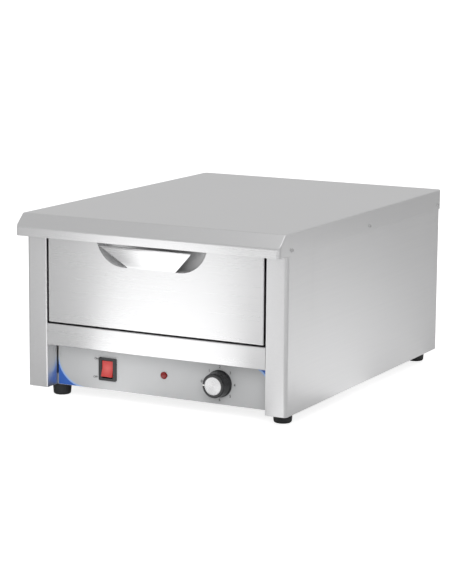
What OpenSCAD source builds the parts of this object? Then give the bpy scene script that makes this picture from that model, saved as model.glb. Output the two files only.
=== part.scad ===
// Counter-top plate warmer: one heated drawer under a folded steel cover.
// Millimetres. The front faces -Y, +Z is up, and the feet stand on z = 0.

/* [Cabinet] */
// Width over the outsides of the side panels
cab_w = 400; // [390:1:440]
// Depth from the faces of the front posts to the back of the side panels
cab_d = 516; // [505:1:560]
// Height from the bottom edge of the posts to the flat top
cab_h = 243.5; // [240:0.5:270]
// Sheet thickness of the cabinet
sheet_t = 1; // [0.8:0.1:1.2]
// Outside radius of the upright corner bends
corner_r = 5; // [3:0.5:8]
// Width of the front post faces
post_w = 31.5; // [28:0.5:34]
// Width of the side panels' rear flanges
rear_flange_w = 16; // [14:1:20]

/* [Top cover] */
// Sheet thickness of the top cover
cover_t = 1; // [0.8:0.1:1.2]
// Clearance between the cover's skirts and the cabinet
cover_fit = 0.2; // [0.1:0.1:0.4]
// Height of the skirts, from the flat top down
cover_skirt = 29.4; // [27:0.1:34]
// How far the front lip stands out ahead of the posts
lip_reach = 26.5; // [22:0.5:32]
// Front-to-back run of the slope behind the lip
slope_run = 18.5; // [14:0.5:22]
// Drop of the slope
slope_drop = 17; // [13:0.5:19]

/* [Front] */
// How far the control panel is set back behind the posts
panel_recess = 27; // [24:0.5:30]
// Height of the control panel
panel_h = 74; // [68:1:84]
// Gap between the control panel's ends and the posts' returns
panel_end_gap = 1.5; // [0.5:0.1:3]
// Thickness of the printed label on the control panel
label_t = 0.3; // [0.2:0.1:0.5]
// Bottom edge of the front rail
rail_z = 60.3; // [56:0.1:62]
// Height of the front rail
rail_h = 30.6; // [28:0.1:34]
// Set-back of the rail's face behind the posts
rail_recess = 0.5; // [0:0.1:1.5]
// Depth of the rail's top flange
rail_flange = 42; // [36:1:50]
// Height of the blue accents in two corners of the label
accent_h = 44; // [30:1:50]
// Width of those accents
accent_w = 44; // [30:1:50]

/* [Drawer] */
// Sheet thickness of the drawer's front and tub
drawer_t = 1.2; // [1:0.1:1.5]
// Gap on each side of the drawer's front
side_gap = 2.7; // [2:0.1:4]
// Gap between the front rail and the drawer's front
rail_gap = 2.2; // [1.5:0.1:3]
// Gap between the drawer's front and the level of the lip's bottom edge
lip_gap = 1.1; // [0.8:0.1:2]
// Thickness of the drawer's front, skin to skin
front_depth = 19.2; // [16:0.2:22]
// How far the tub's rim lies below the top edge of the drawer's front
tub_rim_drop = 12.9; // [9:0.1:26]
// Height of the tub's bottom above the bottom edge of the drawer's front
tub_rise = 13; // [11.5:0.5:16]
// Free space behind the tub
tub_rear_gap = 22.4; // [16:0.1:30]

/* [Drawer pull] */
// Sideways place of the finger notch and its tongue
pull_x = -3; // [-8:0.5:8]
// Height of the finger notch from the fold to the top edge
notch_h = 34.3; // [30:0.1:38]
// Half width of the notch where its curved sides stand upright
notch_half = 85.5; // [80:0.5:90]
// Radius of the notch's curved sides
notch_r = 42; // [39:0.5:46]
// Half width of the tongue at its fold
tongue_root = 37; // [30:1:44]
// Half width of the tongue at its top edge
tongue_top = 71; // [60:1:74]
// Length of the tongue's flat part
tongue_len = 31; // [26:0.5:34]
// Lean of the tongue out of the front, in degrees
tongue_lean = 30; // [24:1:36]
// Length of the hem along the tongue's top edge
hem_len = 5; // [3:0.5:6]
// Lean of the hem, in degrees
hem_lean = 62; // [50:1:75]
// Radius of the tongue's upper corners
tongue_corner = 1.2; // [0.6:0.2:2]

/* [Slides] */
// Height of the fixed slide channel
slide_h = 45; // [40:1:50]
// Sheet thickness of the slide channels
slide_t = 1.2; // [1:0.1:1.4]
// Running clearance between the channels
slide_fit = 0.3; // [0.25:0.05:0.5]
// Width from the chamber wall to the tub
slide_w = 13; // [12:0.5:15]
// Free space behind the fixed channels
slide_rear_gap = 12.4; // [8:0.1:20]

/* [Chamber and insulation] */
// Thickness of the insulation behind the chamber
rear_ins_t = 20; // [14:0.5:24]
// Clearance around each insulation slab
ins_fit = 0.3; // [0.2:0.05:0.5]
// Radius of the heating tube
element_r = 4.25; // [3.5:0.05:5]
// Height of the heating tube's axis above the chamber floor
element_rise = 7.1; // [6:0.1:8]
// Spacing of the heating tube's four legs
element_pitch = 80; // [70:1:84]

/* [Controls] */
// Sideways place of the rocker switch
switch_x = -86.6; // [-95:0.1:-80]
// Height of the rocker switch
switch_z = 29.3; // [27:0.1:32]
// Width of the switch bezel
bezel_w = 27.7; // [26:0.1:30]
// Height of the switch bezel
bezel_h = 32; // [31:0.5:34]
// Sideways place of the indicator lamp
lamp_x = 2; // [-8:0.5:8]
// Height of the indicator lamp
lamp_z = 30.5; // [26:0.5:36]
// Radius of the lamp's lens
lens_r = 5.3; // [4.5:0.1:6]
// Sideways place of the thermostat knob
knob_x = 87.6; // [80:0.1:95]
// Height of the thermostat knob
knob_z = 28.8; // [27:0.1:32]
// Radius of the knob's skirt
skirt_r = 18.7; // [17.5:0.1:21]
// Depth of the knob in front of the label
knob_depth = 20; // [17:0.5:22]
// Radius of the thermostat's shaft
shaft_r = 3; // [2.5:0.1:3.5]
// Running clearance around the shaft and the rocker's pivots
run_fit = 0.06; // [0.03:0.01:0.09]

/* [Feet and fasteners] */
// Height of the feet below the cabinet
foot_h = 17.7; // [12:0.1:24]
// Radius of a foot at its top
foot_r = 13.4; // [11:0.1:14]
// Distance of the feet's middles from the cabinet's sides
foot_inset_x = 27; // [25:0.5:34]
// Distance of the front feet's middles from the faces of the front posts
foot_inset_front = 45.5; // [44:0.5:60]
// Distance of the rear feet's middles from the back of the cabinet
foot_inset_back = 17; // [16:0.5:40]
// Radius of the cover screws' heads
cover_head_r = 2.9; // [2.5:0.1:3.5]
// Radius of the cable gland's bore
gland_bore_r = 4.5; // [3.5:0.1:5]
// Height of the cable gland above the base
gland_z = 36; // [28:1:44]
// Distance of the cable gland from the left side of the cabinet
gland_inset = 70; // [60:1:90]

/* [Hidden] */
$fn = 48;

// Levels and widths that follow from the sizes above
half_w = cab_w / 2;
inner_half = half_w - post_w;
skirt_z = cab_h - cover_skirt;
lip_z = cab_h - slope_drop;
cover_half = half_w + cover_fit + cover_t;
cover_back = cab_d + cover_fit + cover_t;
under_cover = cab_h - cover_t - ins_fit;
panel_back = panel_recess + sheet_t;
back_y = cab_d - 2 * sheet_t;
rail_top = rail_z + rail_h;
floor_top = rail_top - sheet_t;
drawer_z0 = rail_top + rail_gap;
drawer_z1 = skirt_z - lip_gap;
front_half = inner_half - side_gap;
top_rail_z = drawer_z1 + 2;
roof_z = top_rail_z + sheet_t;
rear_wall_y = back_y - rear_ins_t - 2 * ins_fit - sheet_t;
panel_half = inner_half - panel_end_gap;
label_half = panel_half - 0.2;
label_y = panel_recess - label_t;
label_top = rail_z - 0.3;

// Drawer and slides
tub_half = inner_half - slide_w;
tub_z = drawer_z0 + tub_rise;
tub_end = rear_wall_y - tub_rear_gap;
slide_y = panel_back + 2;
slide_end = rear_wall_y - slide_rear_gap;
tub_h = drawer_z1 - tub_rim_drop - tub_z;
slide_z = tub_z + tub_h / 2;
fold_z = drawer_z1 - notch_h;
rivet_r = 2.4;
rivet_fit = 0.05;
rivet_inset = 24;
rivet_ys = [slide_y + rivet_inset, (slide_y + tub_end) / 2, tub_end - rivet_inset];
tub_screw_inset_x = 55.5;
tub_screw_inset_z = 22;
tub_screw_xs = [-tub_half + tub_screw_inset_x, tub_half - tub_screw_inset_x];
tub_screw_zs = [tub_z + tub_screw_inset_z, tub_z + tub_h - tub_screw_inset_z];

// Screws
screw_r = 1.5;
screw_fit = 0.1;
cover_screw_ys = [9, cab_d / 2 - 3, cab_d - 11];
cover_screw_z = skirt_z + 7;
back_screw_low = 22;
back_screw_high = skirt_z - 12.1;
back_screw_zs = [back_screw_low, (back_screw_low + back_screw_high) / 2, back_screw_high];
back_screw_x = half_w - rear_flange_w + 7;

// Feet
foot_x = half_w - foot_inset_x;
foot_ys = [foot_inset_front, cab_d - foot_inset_back];
foot_screw_r = 2;

// Heating element
element_z = floor_top + element_rise;
leg_xs = [for (i = [0:3]) (i - 1.5) * element_pitch];
bend_r = element_pitch / 2;
elbow_r = 14;
element_set_back = 46;
element_rear_gap = 70;
element_turn_gap = 26;
element_tail = 20;
element_front = panel_back + element_set_back;
element_rear = tub_end - element_rear_gap;
element_mid = element_front + element_turn_gap;
element_end_z = floor_top - element_tail;
cradle_w = 16;
cradle_t = 6;
cradle_ys = [element_mid + bend_r + 30, element_rear - 40];

// Controls
opening_w = 17.6;
opening_h = 24.8;
housing_w = 22;
housing_h = 28;
bezel_t = 2.5;
bezel_y = label_y - bezel_t;
pivot_y = bezel_y + 4.8;
pivot_r = 1.5;
rocker_tilt = 10;
bush_r = 5;
thermostat_w = 44;
thermostat_h = 34;
thermostat_d = 30;
nut_t = 3;
cap_r = 12.6;
knob_ring_r = skirt_r - 3.3;
lamp_r = 3.9;

// Thermostat bulb on the right chamber wall, below the slide
bulb_r = 3;
bulb_x = inner_half - 4.6;
bulb_z = tub_z + 6;
bulb_len = 90;
bulb_y = (panel_back + tub_end - bulb_len) / 2;
clip_t = 10;
clip_inset = 20;

// Rear fittings
gland_thread_r = 8;
gland_out = 17;
gland_x = -half_w + gland_inset;
block_w = 60;
block_d = 22;
block_h = 18;
block_x = gland_x;
block_y = back_y - 80;
stud_x = block_x + block_w;
terminal_pitch = 11;
cutout_x = 60;
cutout_y = 250;
cutout_r = 9;
cutout_t = 8;

// The origin is the middle of the overall box, seen from above
front_most = -lip_reach;
back_most = cab_d - sheet_t + gland_out;
shift_y = -(front_most + back_most) / 2;

// Bent sheet drawn from its middle line, with round bends

function unit(v) = v / norm(v);
function left_of(v) = [-v[1], v[0]];
function turn_of(a, b) = atan2(a[0] * b[1] - a[1] * b[0], a * b);
function swing(v, a) = [v[0] * cos(a) - v[1] * sin(a), v[0] * sin(a) + v[1] * cos(a)];

// Points of one bend of radius r at p1, on the side s of a sheet of thickness t
function bend_points(p0, p1, p2, r, t, s) =
    let (d = unit(p1 - p0),
        a = turn_of(d, unit(p2 - p1)),
        g = sign(a),
        centre = p1 - d * r * tan(abs(a) / 2) + left_of(d) * r * g)
    [for (i = [0:6]) centre + swing(left_of(d), a * i / 6) * (s * t / 2 - g * r)];

function sheet_side(p, r, t, s) =
    let (n = len(p) - 1)
    concat([p[0] + left_of(unit(p[1] - p[0])) * s * t / 2],
        [for (k = [1:n - 1]) each bend_points(p[k - 1], p[k], p[k + 1], r[k - 1], t, s)],
        [p[n] + left_of(unit(p[n] - p[n - 1])) * s * t / 2]);

function reversed(p) = [for (i = [len(p) - 1:-1:0]) p[i]];

module bent_sheet(p, r, t) {
    polygon(concat(sheet_side(p, r, t, 1), reversed(sheet_side(p, r, t, -1))));
}

// Draws a shape given in Y and Z, extruded along X from x0 to x1
module along_x(x0, x1) {
    translate([x0, 0, 0])
        rotate([90, 0, 90])
            linear_extrude(x1 - x0)
                children();
}

// Draws a shape given in X and Z, extruded along Y from y0 to y1
module along_y(y0, y1) {
    translate([0, y1, 0])
        rotate([90, 0, 0])
            linear_extrude(y1 - y0)
                children();
}

module block(a, b) {
    translate(a)
        cube(b - a);
}

module rod_x(r, x0, x1, y, z) {
    translate([x0, y, z])
        rotate([0, 90, 0])
            cylinder(r = r, h = x1 - x0);
}

module rod_y(r, x, y0, y1, z) {
    translate([x, y0, z])
        rotate([-90, 0, 0])
            cylinder(r = r, h = y1 - y0);
}

module rod_z(r, x, y, z0, z1) {
    translate([x, y, z0])
        cylinder(r = r, h = z1 - z0);
}

module rounded_plan(x1, y0, y1, r) {
    translate([-x1 + r, y0])
        square([2 * (x1 - r), y1 - y0]);
    translate([-x1, y0 + r])
        square([2 * x1, y1 - y0 - 2 * r]);
    for (x = [-x1 + r, x1 - r])
        for (y = [y0 + r, y1 - r])
            translate([x, y])
                circle(r);
}

// Ring of eight points around c, square to the direction d
function ring(c, d, r) =
    let (u = unit(cross(d, [1, 0, 1])), w = cross(d, u))
    [for (k = [0:7]) c + r * (u * cos(45 * k) + w * sin(45 * k))];

// A wire or thin tube swept through a list of points
module tube_run(p, r) {
    n = len(p) - 1;
    dirs = [for (i = [0:n])
        unit(unit(p[min(i + 1, n)] - p[min(i, n - 1)]) + unit(p[max(i, 1)] - p[max(i - 1, 0)]))];
    polyhedron(
        points = [for (i = [0:n]) each ring(p[i], dirs[i], r)],
        faces = concat([[for (k = [0:7]) k]], [[for (k = [7:-1:0]) n * 8 + k]],
            [for (i = [0:n - 1]) for (k = [0:7]) [i * 8 + k, (i + 1) * 8 + k, (i + 1) * 8 + (k + 1) % 8]],
            [for (i = [0:n - 1]) for (k = [0:7]) [i * 8 + k, (i + 1) * 8 + (k + 1) % 8, i * 8 + (k + 1) % 8]]));
}

// Domed screw on +Z: the head stands on z = 0 and the shank goes down
module dome_screw(head_r, head_h, r, reach) {
    difference() {
        cylinder(r1 = head_r, r2 = head_r * 0.62, h = head_h, $fn = 32);
        for (a = [0, 90])
            rotate([0, 0, a])
                translate([-head_r * 0.42, -head_r * 0.09, head_h * 0.45])
                    cube([head_r * 0.84, head_r * 0.18, head_h]);
    }
    translate([0, 0, -reach])
        cylinder(r = r, h = reach + 0.01, $fn = 32);
}

module place() {
    translate([0, shift_y, foot_h])
        children();
}

// Casing

module cover_outline(t, deep) {
    slope_len = norm([slope_run, slope_drop]);
    f = -lip_reach + t;
    lip_top = lip_z + t * (slope_drop - slope_len) / slope_run;
    crease = -lip_reach + (slope_drop - t + t * slope_len / slope_run) * slope_run / slope_drop;
    polygon([[f, skirt_z - deep], [f, lip_top], [crease, cab_h - t],
        [cover_back - t, cab_h - t], [cover_back - t, skirt_z - deep]]);
}

module cover_body(t, deep) {
    intersection() {
        along_x(-cover_half + t, cover_half - t)
            cover_outline(t, deep);
        translate([0, 0, skirt_z - 2 * deep - 1])
            linear_extrude(cover_skirt + 3 * deep + 2)
                rounded_plan(cover_half - t, -lip_reach + t, cover_back - t, corner_r - t);
    }
}

module top_cover() {
    color("#c9cbcc")
        place()
            difference() {
                cover_body(0, 0);
                cover_body(cover_t, 1);
                for (y = cover_screw_ys)
                    rod_x(screw_r + screw_fit, -cover_half - 1, cover_half + 1, y, cover_screw_z);
            }
}

module side_panel() {
    m = sheet_t / 2;
    path = [[inner_half + m, panel_back], [inner_half + m, m], [half_w - m, m],
        [half_w - m, cab_d - m], [half_w - rear_flange_w, cab_d - m]];
    difference() {
        linear_extrude(under_cover)
            bent_sheet(path, [1.5, corner_r - m, corner_r - m], sheet_t);
        for (y = cover_screw_ys)
            rod_x(screw_r + screw_fit, half_w - 3, half_w + 1, y, cover_screw_z);
        for (z = back_screw_zs)
            rod_y(screw_r + screw_fit, back_screw_x, cab_d - 3, cab_d + 1, z);
    }
}

module right_side_panel() {
    color("#b9bcbe")
        place()
            side_panel();
}

module left_side_panel() {
    color("#b9bcbe")
        place()
            mirror([1, 0, 0])
                side_panel();
}

module front_rail() {
    m = sheet_t / 2;
    f = rail_recess + m;
    path = [[panel_recess, rail_z + m], [f, rail_z + m], [f, rail_top - m], [rail_flange, rail_top - m]];
    color("#d6d8d9")
        place()
            along_x(-inner_half, inner_half)
                bent_sheet(path, [1.2, 1.2], sheet_t);
}

module top_rail() {
    m = sheet_t / 2;
    f = rail_recess + m;
    path = [[panel_back + 12, top_rail_z + m], [f, top_rail_z + m],
        [f, under_cover - m], [panel_back - 8, under_cover - m]];
    color("#c4c7c9")
        place()
            along_x(-inner_half, inner_half)
                bent_sheet(path, [1.2, 1.2], sheet_t);
}

module panel_holes(y0, y1, grow) {
    block([switch_x - housing_w / 2 - grow, y0, switch_z - housing_h / 2 - grow],
        [switch_x + housing_w / 2 + grow, y1, switch_z + housing_h / 2 + grow]);
    rod_y(lamp_r + grow, lamp_x, y0, y1, lamp_z);
    rod_y(bush_r + grow, knob_x, y0, y1, knob_z);
}

module control_panel() {
    color("#b4b7b9")
        place()
            difference() {
                block([-panel_half, panel_recess, 0], [panel_half, panel_back, panel_h]);
                panel_holes(panel_recess - 1, panel_back + 1, 0.15);
            }
}

module corner_accent() {
    difference() {
        square([accent_w, accent_h]);
        translate([accent_w, accent_h])
            scale([1, accent_h / accent_w])
                circle(accent_w, $fn = 96);
    }
}

// The two accents, seen from the front: low on the left and high on the right
module accents() {
    translate([-label_half, 0.4])
        corner_accent();
    translate([label_half, label_top])
        rotate(180)
            corner_accent();
}

module control_label() {
    color("#bfc1c2")
        place()
            difference() {
                block([-label_half, label_y, 0.4], [label_half, panel_recess, label_top + 0.1]);
                panel_holes(label_y - 1, panel_recess + 1, 0.15);
                along_y(label_y - 1, label_y + label_t / 2)
                    accents();
            }
}

module label_accents() {
    color("#2b62b8")
        place()
            along_y(label_y, label_y + label_t / 2)
                accents();
}

module base_plate() {
    edge = half_w - sheet_t;
    lip = 15;
    color("#aeb1b3")
        place()
            difference() {
                block([-edge, panel_back, 0], [edge, back_y, lip]);
                block([-edge + sheet_t, panel_back + sheet_t, sheet_t],
                    [edge - sheet_t, back_y - sheet_t, lip + 1]);
                for (side = [0, 1])
                    mirror([side, 0, 0])
                        block([half_w - corner_r, cab_d - corner_r, -1], [half_w, back_y + 1, lip + 1]);
                for (x = [-foot_x, foot_x])
                    for (y = foot_ys)
                        rod_z(foot_screw_r + screw_fit, x, y, -1, sheet_t + 1);
                for (i = [-4:4])
                    block([i * 22 - 3, 150, -1], [i * 22 + 3, 210, sheet_t + 1]);
                rod_z(foot_screw_r + screw_fit, stud_x, block_y, -1, sheet_t + 1);
            }
}

module back_panel() {
    edge = half_w - corner_r;
    color("#b4b7b9")
        place()
            difference() {
                block([-edge, back_y, 0.2], [edge, back_y + sheet_t, under_cover - 0.2]);
                for (x = [-back_screw_x, back_screw_x])
                    for (z = back_screw_zs)
                        rod_y(screw_r + screw_fit, x, back_y - 1, cab_d, z);
                for (i = [0:7])
                    block([i * 14 - 10, back_y - 1, 24], [i * 14 - 4, cab_d, 64]);
                rod_y(gland_thread_r + screw_fit, gland_x, back_y - 1, cab_d, gland_z);
            }
}

// Heated chamber

module chamber_wall() {
    difference() {
        block([inner_half, panel_back, floor_top - sheet_t], [inner_half + sheet_t, rear_wall_y, roof_z]);
        for (y = rivet_ys)
            rod_x(rivet_r + rivet_fit, inner_half - 1, inner_half + 3, y, slide_z);
    }
}

module right_chamber_wall() {
    color("#c8cacc")
        place()
            chamber_wall();
}

module left_chamber_wall() {
    color("#c8cacc")
        place()
            mirror([1, 0, 0])
                chamber_wall();
}

module rear_chamber_wall() {
    edge = inner_half + sheet_t;
    color("#c8cacc")
        place()
            block([-edge, rear_wall_y, floor_top - sheet_t], [edge, rear_wall_y + sheet_t, roof_z]);
}

module chamber_roof() {
    edge = inner_half + sheet_t;
    color("#c8cacc")
        place()
            block([-edge, panel_back, roof_z], [edge, rear_wall_y + sheet_t, roof_z + sheet_t]);
}

module chamber_floor() {
    color("#c8cacc")
        place()
            difference() {
                block([-inner_half, panel_back + 2, floor_top - sheet_t], [inner_half, rear_wall_y, floor_top]);
                for (x = [leg_xs[0], leg_xs[3]])
                    rod_z(element_r + 3, x, element_front - elbow_r + 2, floor_top - 2, floor_top + 1);
                rod_z(2, bulb_x, element_front, floor_top - 2, floor_top + 1);
            }
}

module side_slab() {
    block([inner_half + sheet_t + ins_fit, panel_back + 3, floor_top - 60],
        [half_w - sheet_t - ins_fit, back_y - 9, skirt_z]);
}

module right_insulation() {
    color("#e4ddc8")
        place()
            side_slab();
}

module left_insulation() {
    color("#e4ddc8")
        place()
            mirror([1, 0, 0])
                side_slab();
}

module rear_insulation() {
    color("#e4ddc8")
        place()
            block([-inner_half, rear_wall_y + sheet_t + ins_fit, floor_top],
                [inner_half, back_y - ins_fit, roof_z]);
}

module roof_insulation() {
    color("#e4ddc8")
        place()
            block([-inner_half, panel_back + 1, roof_z + sheet_t + ins_fit],
                [inner_half, back_y - ins_fit, under_cover]);
}

// One quarter or half ring of tube about the Z axis, from angle a over a sweep of b
module ring_part(r, a, b) {
    rotate([0, 0, a])
        rotate_extrude(angle = b)
            translate([r, 0])
                circle(element_r, $fn = 24);
}

module heating_element() {
    color("#6b6763")
        place() {
            for (i = [0:3])
                rod_y(element_r, leg_xs[i], i == 0 || i == 3 ? element_front : element_mid + bend_r,
                    element_rear, element_z, $fn = 24);
            for (i = [0, 2])
                translate([leg_xs[i] + bend_r, element_rear, element_z])
                    ring_part(bend_r, 0, 180);
            translate([leg_xs[1] + bend_r, element_mid + bend_r, element_z])
                ring_part(bend_r, 180, 180);
            for (x = [leg_xs[0], leg_xs[3]]) {
                translate([x, element_front, element_z - elbow_r])
                    rotate([90, 0, 90])
                        ring_part(elbow_r, 90, 90);
                rod_z(element_r, x, element_front - elbow_r, element_end_z, element_z - elbow_r, $fn = 24);
            }
        }
}

module element_cradles() {
    color("#9b9d9f")
        place()
            difference() {
                for (x = leg_xs)
                    for (y = cradle_ys)
                        block([x - cradle_w / 2, y - cradle_t / 2, floor_top],
                            [x + cradle_w / 2, y + cradle_t / 2, element_z]);
                for (x = leg_xs)
                    rod_y(element_r + run_fit, x, element_mid, element_rear, element_z);
            }
}

// Drawer

// The notch from the front. Its curved sides run on past the top edge of the drawer's front.
module notch(grow) {
    foot = notch_half - notch_r;
    translate([pull_x - foot, fold_z - grow])
        square([2 * foot, notch_r + 2 * grow]);
    for (x = [pull_x - foot, pull_x + foot])
        translate([x, fold_z + notch_r])
            circle(notch_r + grow, $fn = 120);
}

// The tongue's outline from the front, with its upper corners rounded
module tongue_outline() {
    rise = tongue_len * cos(tongue_lean) + hem_len * cos(hem_lean) + drawer_t;
    slope = atan2(rise, tongue_top - tongue_root);
    c = [tongue_top - tongue_corner / tan(slope / 2), fold_z + rise - tongue_corner];
    arc = [for (i = [0:6]) let (a = slope - 90 + i * (180 - slope) / 6) tongue_corner * [cos(a), sin(a)]];
    translate([pull_x, 0])
        polygon(concat([[-tongue_root, fold_z], [-tongue_root, fold_z - 3],
            [tongue_root, fold_z - 3], [tongue_root, fold_z]],
            [for (p = arc) c + p],
            [for (i = [6:-1:0]) [-c[0] - arc[i][0], c[1] + arc[i][1]]]));
}

module tongue() {
    m = drawer_t / 2;
    root = [m, fold_z];
    tip = root + tongue_len * [-sin(tongue_lean), cos(tongue_lean)];
    path = [[m, fold_z - 3], root, tip, tip + hem_len * [-sin(hem_lean), cos(hem_lean)]];
    intersection() {
        along_x(pull_x - tongue_top, pull_x + tongue_top)
            bent_sheet(path, [3, 2], drawer_t);
        along_y(-lip_reach, front_depth)
            tongue_outline();
    }
}

module drawer_front() {
    back = front_depth - drawer_t;
    inner = front_half - drawer_t;
    color("#e2e4e5")
        place() {
            difference() {
                block([-front_half, 0, drawer_z0], [front_half, back, drawer_z1]);
                difference() {
                    block([-inner, drawer_t, drawer_z0 + drawer_t], [inner, back + 1, drawer_z1 - drawer_t]);
                    along_y(0, back + 2)
                        notch(drawer_t);
                }
                along_y(-1, back + 1)
                    notch(0);
            }
            tongue();
        }
}

module drawer_backing() {
    color("#c4c7c9")
        place()
            difference() {
                block([-front_half, front_depth - drawer_t, drawer_z0], [front_half, front_depth, drawer_z1]);
                for (x = tub_screw_xs)
                    for (z = tub_screw_zs)
                        rod_y(screw_r + screw_fit, x, 1, front_depth + 1, z);
            }
}

module drawer_tub() {
    slot_l = 42;
    slot_half = 4;
    slot_pitch = 58;
    column_pitch = 50;
    rows = [for (y = [front_depth + 40:slot_pitch:tub_end - slot_l - 18]) y];
    color("#ced1d3")
        place()
            difference() {
                block([-tub_half, front_depth, tub_z], [tub_half, tub_end, tub_z + tub_h]);
                block([-tub_half + drawer_t, front_depth - 1, tub_z + drawer_t],
                    [tub_half - drawer_t, tub_end + 1, tub_z + tub_h + 1]);
                for (y = rows)
                    for (i = [-2:2])
                        block([i * column_pitch - slot_half, y, tub_z - 1],
                            [i * column_pitch + slot_half, y + slot_l, tub_z + drawer_t + 1]);
                for (y = rivet_ys)
                    rod_x(rivet_r + rivet_fit, -tub_half - 1, tub_half + 1, y, slide_z);
            }
}

module tub_wall(y) {
    block([-tub_half + drawer_t, y, tub_z + drawer_t], [tub_half - drawer_t, y + drawer_t, tub_z + tub_h]);
}

// The two end walls, welded between the tub's sides.
module tub_ends() {
    color("#c9cccf")
        place() {
            tub_wall(tub_end - drawer_t);
            difference() {
                tub_wall(front_depth);
                for (x = tub_screw_xs)
                    for (z = tub_screw_zs)
                        rod_y(screw_r + screw_fit, x, front_depth - 1, front_depth + drawer_t + 1, z);
            }
        }
}

module drawer_front_screws() {
    color("#8f9294")
        place()
            for (x = tub_screw_xs)
                for (z = tub_screw_zs)
                    translate([x, front_depth + drawer_t, z])
                        rotate([-90, 0, 0])
                            dome_screw(3.4, 2, screw_r, 6);
}

// Slides, drawn for the right side. A channel's web lies from x0 to x1.

module channel(x0, x1, reach, h, y0, y1) {
    difference() {
        block([min(x0, reach), y0, slide_z - h / 2], [max(x1, reach), y1, slide_z + h / 2]);
        block([reach < x0 ? reach - 1 : x1, y0 - 1, slide_z - h / 2 + slide_t],
            [reach < x0 ? x0 : reach + 1, y1 + 1, slide_z + h / 2 - slide_t]);
    }
}

middle_h = slide_h - 2 * (slide_t + slide_fit);
drawer_slide_h = middle_h - 2 * (slide_t + slide_fit);
web_x = inner_half - slide_t;
middle_web_x = web_x - slide_fit - slide_t;

module fixed_slide() {
    difference() {
        channel(web_x, inner_half, tub_half + slide_t + 0.8, slide_h, slide_y, slide_end);
        for (y = rivet_ys)
            rod_x(rivet_r + rivet_fit, web_x - 1, inner_half + 1, y, slide_z);
    }
}

module middle_slide() {
    channel(middle_web_x, middle_web_x + slide_t, tub_half + slide_t + 1.2, middle_h, slide_y, slide_end);
}

module drawer_slide() {
    difference() {
        channel(tub_half, tub_half + slide_t, middle_web_x - slide_fit, drawer_slide_h, slide_y - 4, tub_end);
        for (y = rivet_ys)
            rod_x(rivet_r + rivet_fit, tub_half - 1, tub_half + slide_t + 1, y, slide_z);
    }
}

module left_fixed_slide() {
    color("#a9adb0")
        place()
            mirror([1, 0, 0])
                fixed_slide();
}

module right_fixed_slide() {
    color("#a9adb0")
        place()
            fixed_slide();
}

module left_middle_slide() {
    color("#8f9498")
        place()
            mirror([1, 0, 0])
                middle_slide();
}

module right_middle_slide() {
    color("#8f9498")
        place()
            middle_slide();
}

module left_drawer_slide() {
    color("#b7bbbe")
        place()
            mirror([1, 0, 0])
                drawer_slide();
}

module right_drawer_slide() {
    color("#b7bbbe")
        place()
            drawer_slide();
}

// Flush rivets through a channel's web and the sheet behind it
module flush_rivets(x0, x1) {
    for (side = [0, 1])
        mirror([side, 0, 0])
            for (y = rivet_ys)
                rod_x(rivet_r, x0, x1, y, slide_z);
}

module slide_rivets() {
    color("#8a8d90")
        place()
            flush_rivets(web_x, inner_half + sheet_t);
}

module tub_rivets() {
    color("#8a8d90")
        place()
            flush_rivets(tub_half - drawer_t, tub_half + slide_t);
}

// Rocker switch

module switch_housing() {
    color("#17181a")
        place()
            difference() {
                union() {
                    block([switch_x - bezel_w / 2, bezel_y, switch_z - bezel_h / 2],
                        [switch_x + bezel_w / 2, label_y, switch_z + bezel_h / 2]);
                    block([switch_x - housing_w / 2, label_y, switch_z - housing_h / 2],
                        [switch_x + housing_w / 2, panel_back + 22, switch_z + housing_h / 2]);
                }
                block([switch_x - opening_w / 2, bezel_y - 1, switch_z - opening_h / 2],
                    [switch_x + opening_w / 2, pivot_y + 8, switch_z + opening_h / 2]);
                rod_x(pivot_r + run_fit, switch_x - housing_w, switch_x + housing_w, pivot_y, switch_z);
            }
}

// The rocker in its ON place, with the top half pressed in
module switch_rocker() {
    half_h = 11;
    crown = 4;
    tip = crown + half_h * tan(rocker_tilt);
    half_x = opening_w / 2 - slide_fit;
    color("#c41e1a")
        place()
            translate([switch_x, pivot_y, switch_z])
                rotate([-rocker_tilt, 0, 0]) {
                    along_x(-half_x, half_x)
                        polygon([[-tip, half_h], [-crown, 0], [-tip, -half_h], [0, -half_h],
                            [4, -8], [4, 8], [0, half_h]]);
                    rod_x(pivot_r, -half_x - 1.6, half_x + 1.6, 0, 0);
                }
}

// Indicator lamp

module lamp_lens() {
    dome = 3.4;
    color("#8e1512")
        place()
            translate([lamp_x, label_y, lamp_z])
                rotate([90, 0, 0])
                    rotate_extrude()
                        polygon([[0, 0], [lens_r, 0], [lens_r, 1.2],
                            for (a = [15:15:90]) [lens_r * cos(a), 1.2 + (dome - 1.2) * sin(a)]]);
}

module lamp_body() {
    color("#e8e6e0")
        place()
            rod_y(lamp_r, lamp_x, label_y, panel_back + 20, lamp_z);
}

module hex_nut(across, bore, t) {
    difference() {
        cylinder(r = across / sqrt(3), h = t, $fn = 6);
        translate([0, 0, -1])
            cylinder(r = bore, h = t + 2);
    }
}

module lamp_nut() {
    color("#8f9294")
        place()
            translate([lamp_x, panel_back, lamp_z])
                rotate([-90, 0, 0])
                    hex_nut(12, lamp_r + run_fit, nut_t);
}

// Thermostat and its knob

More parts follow.
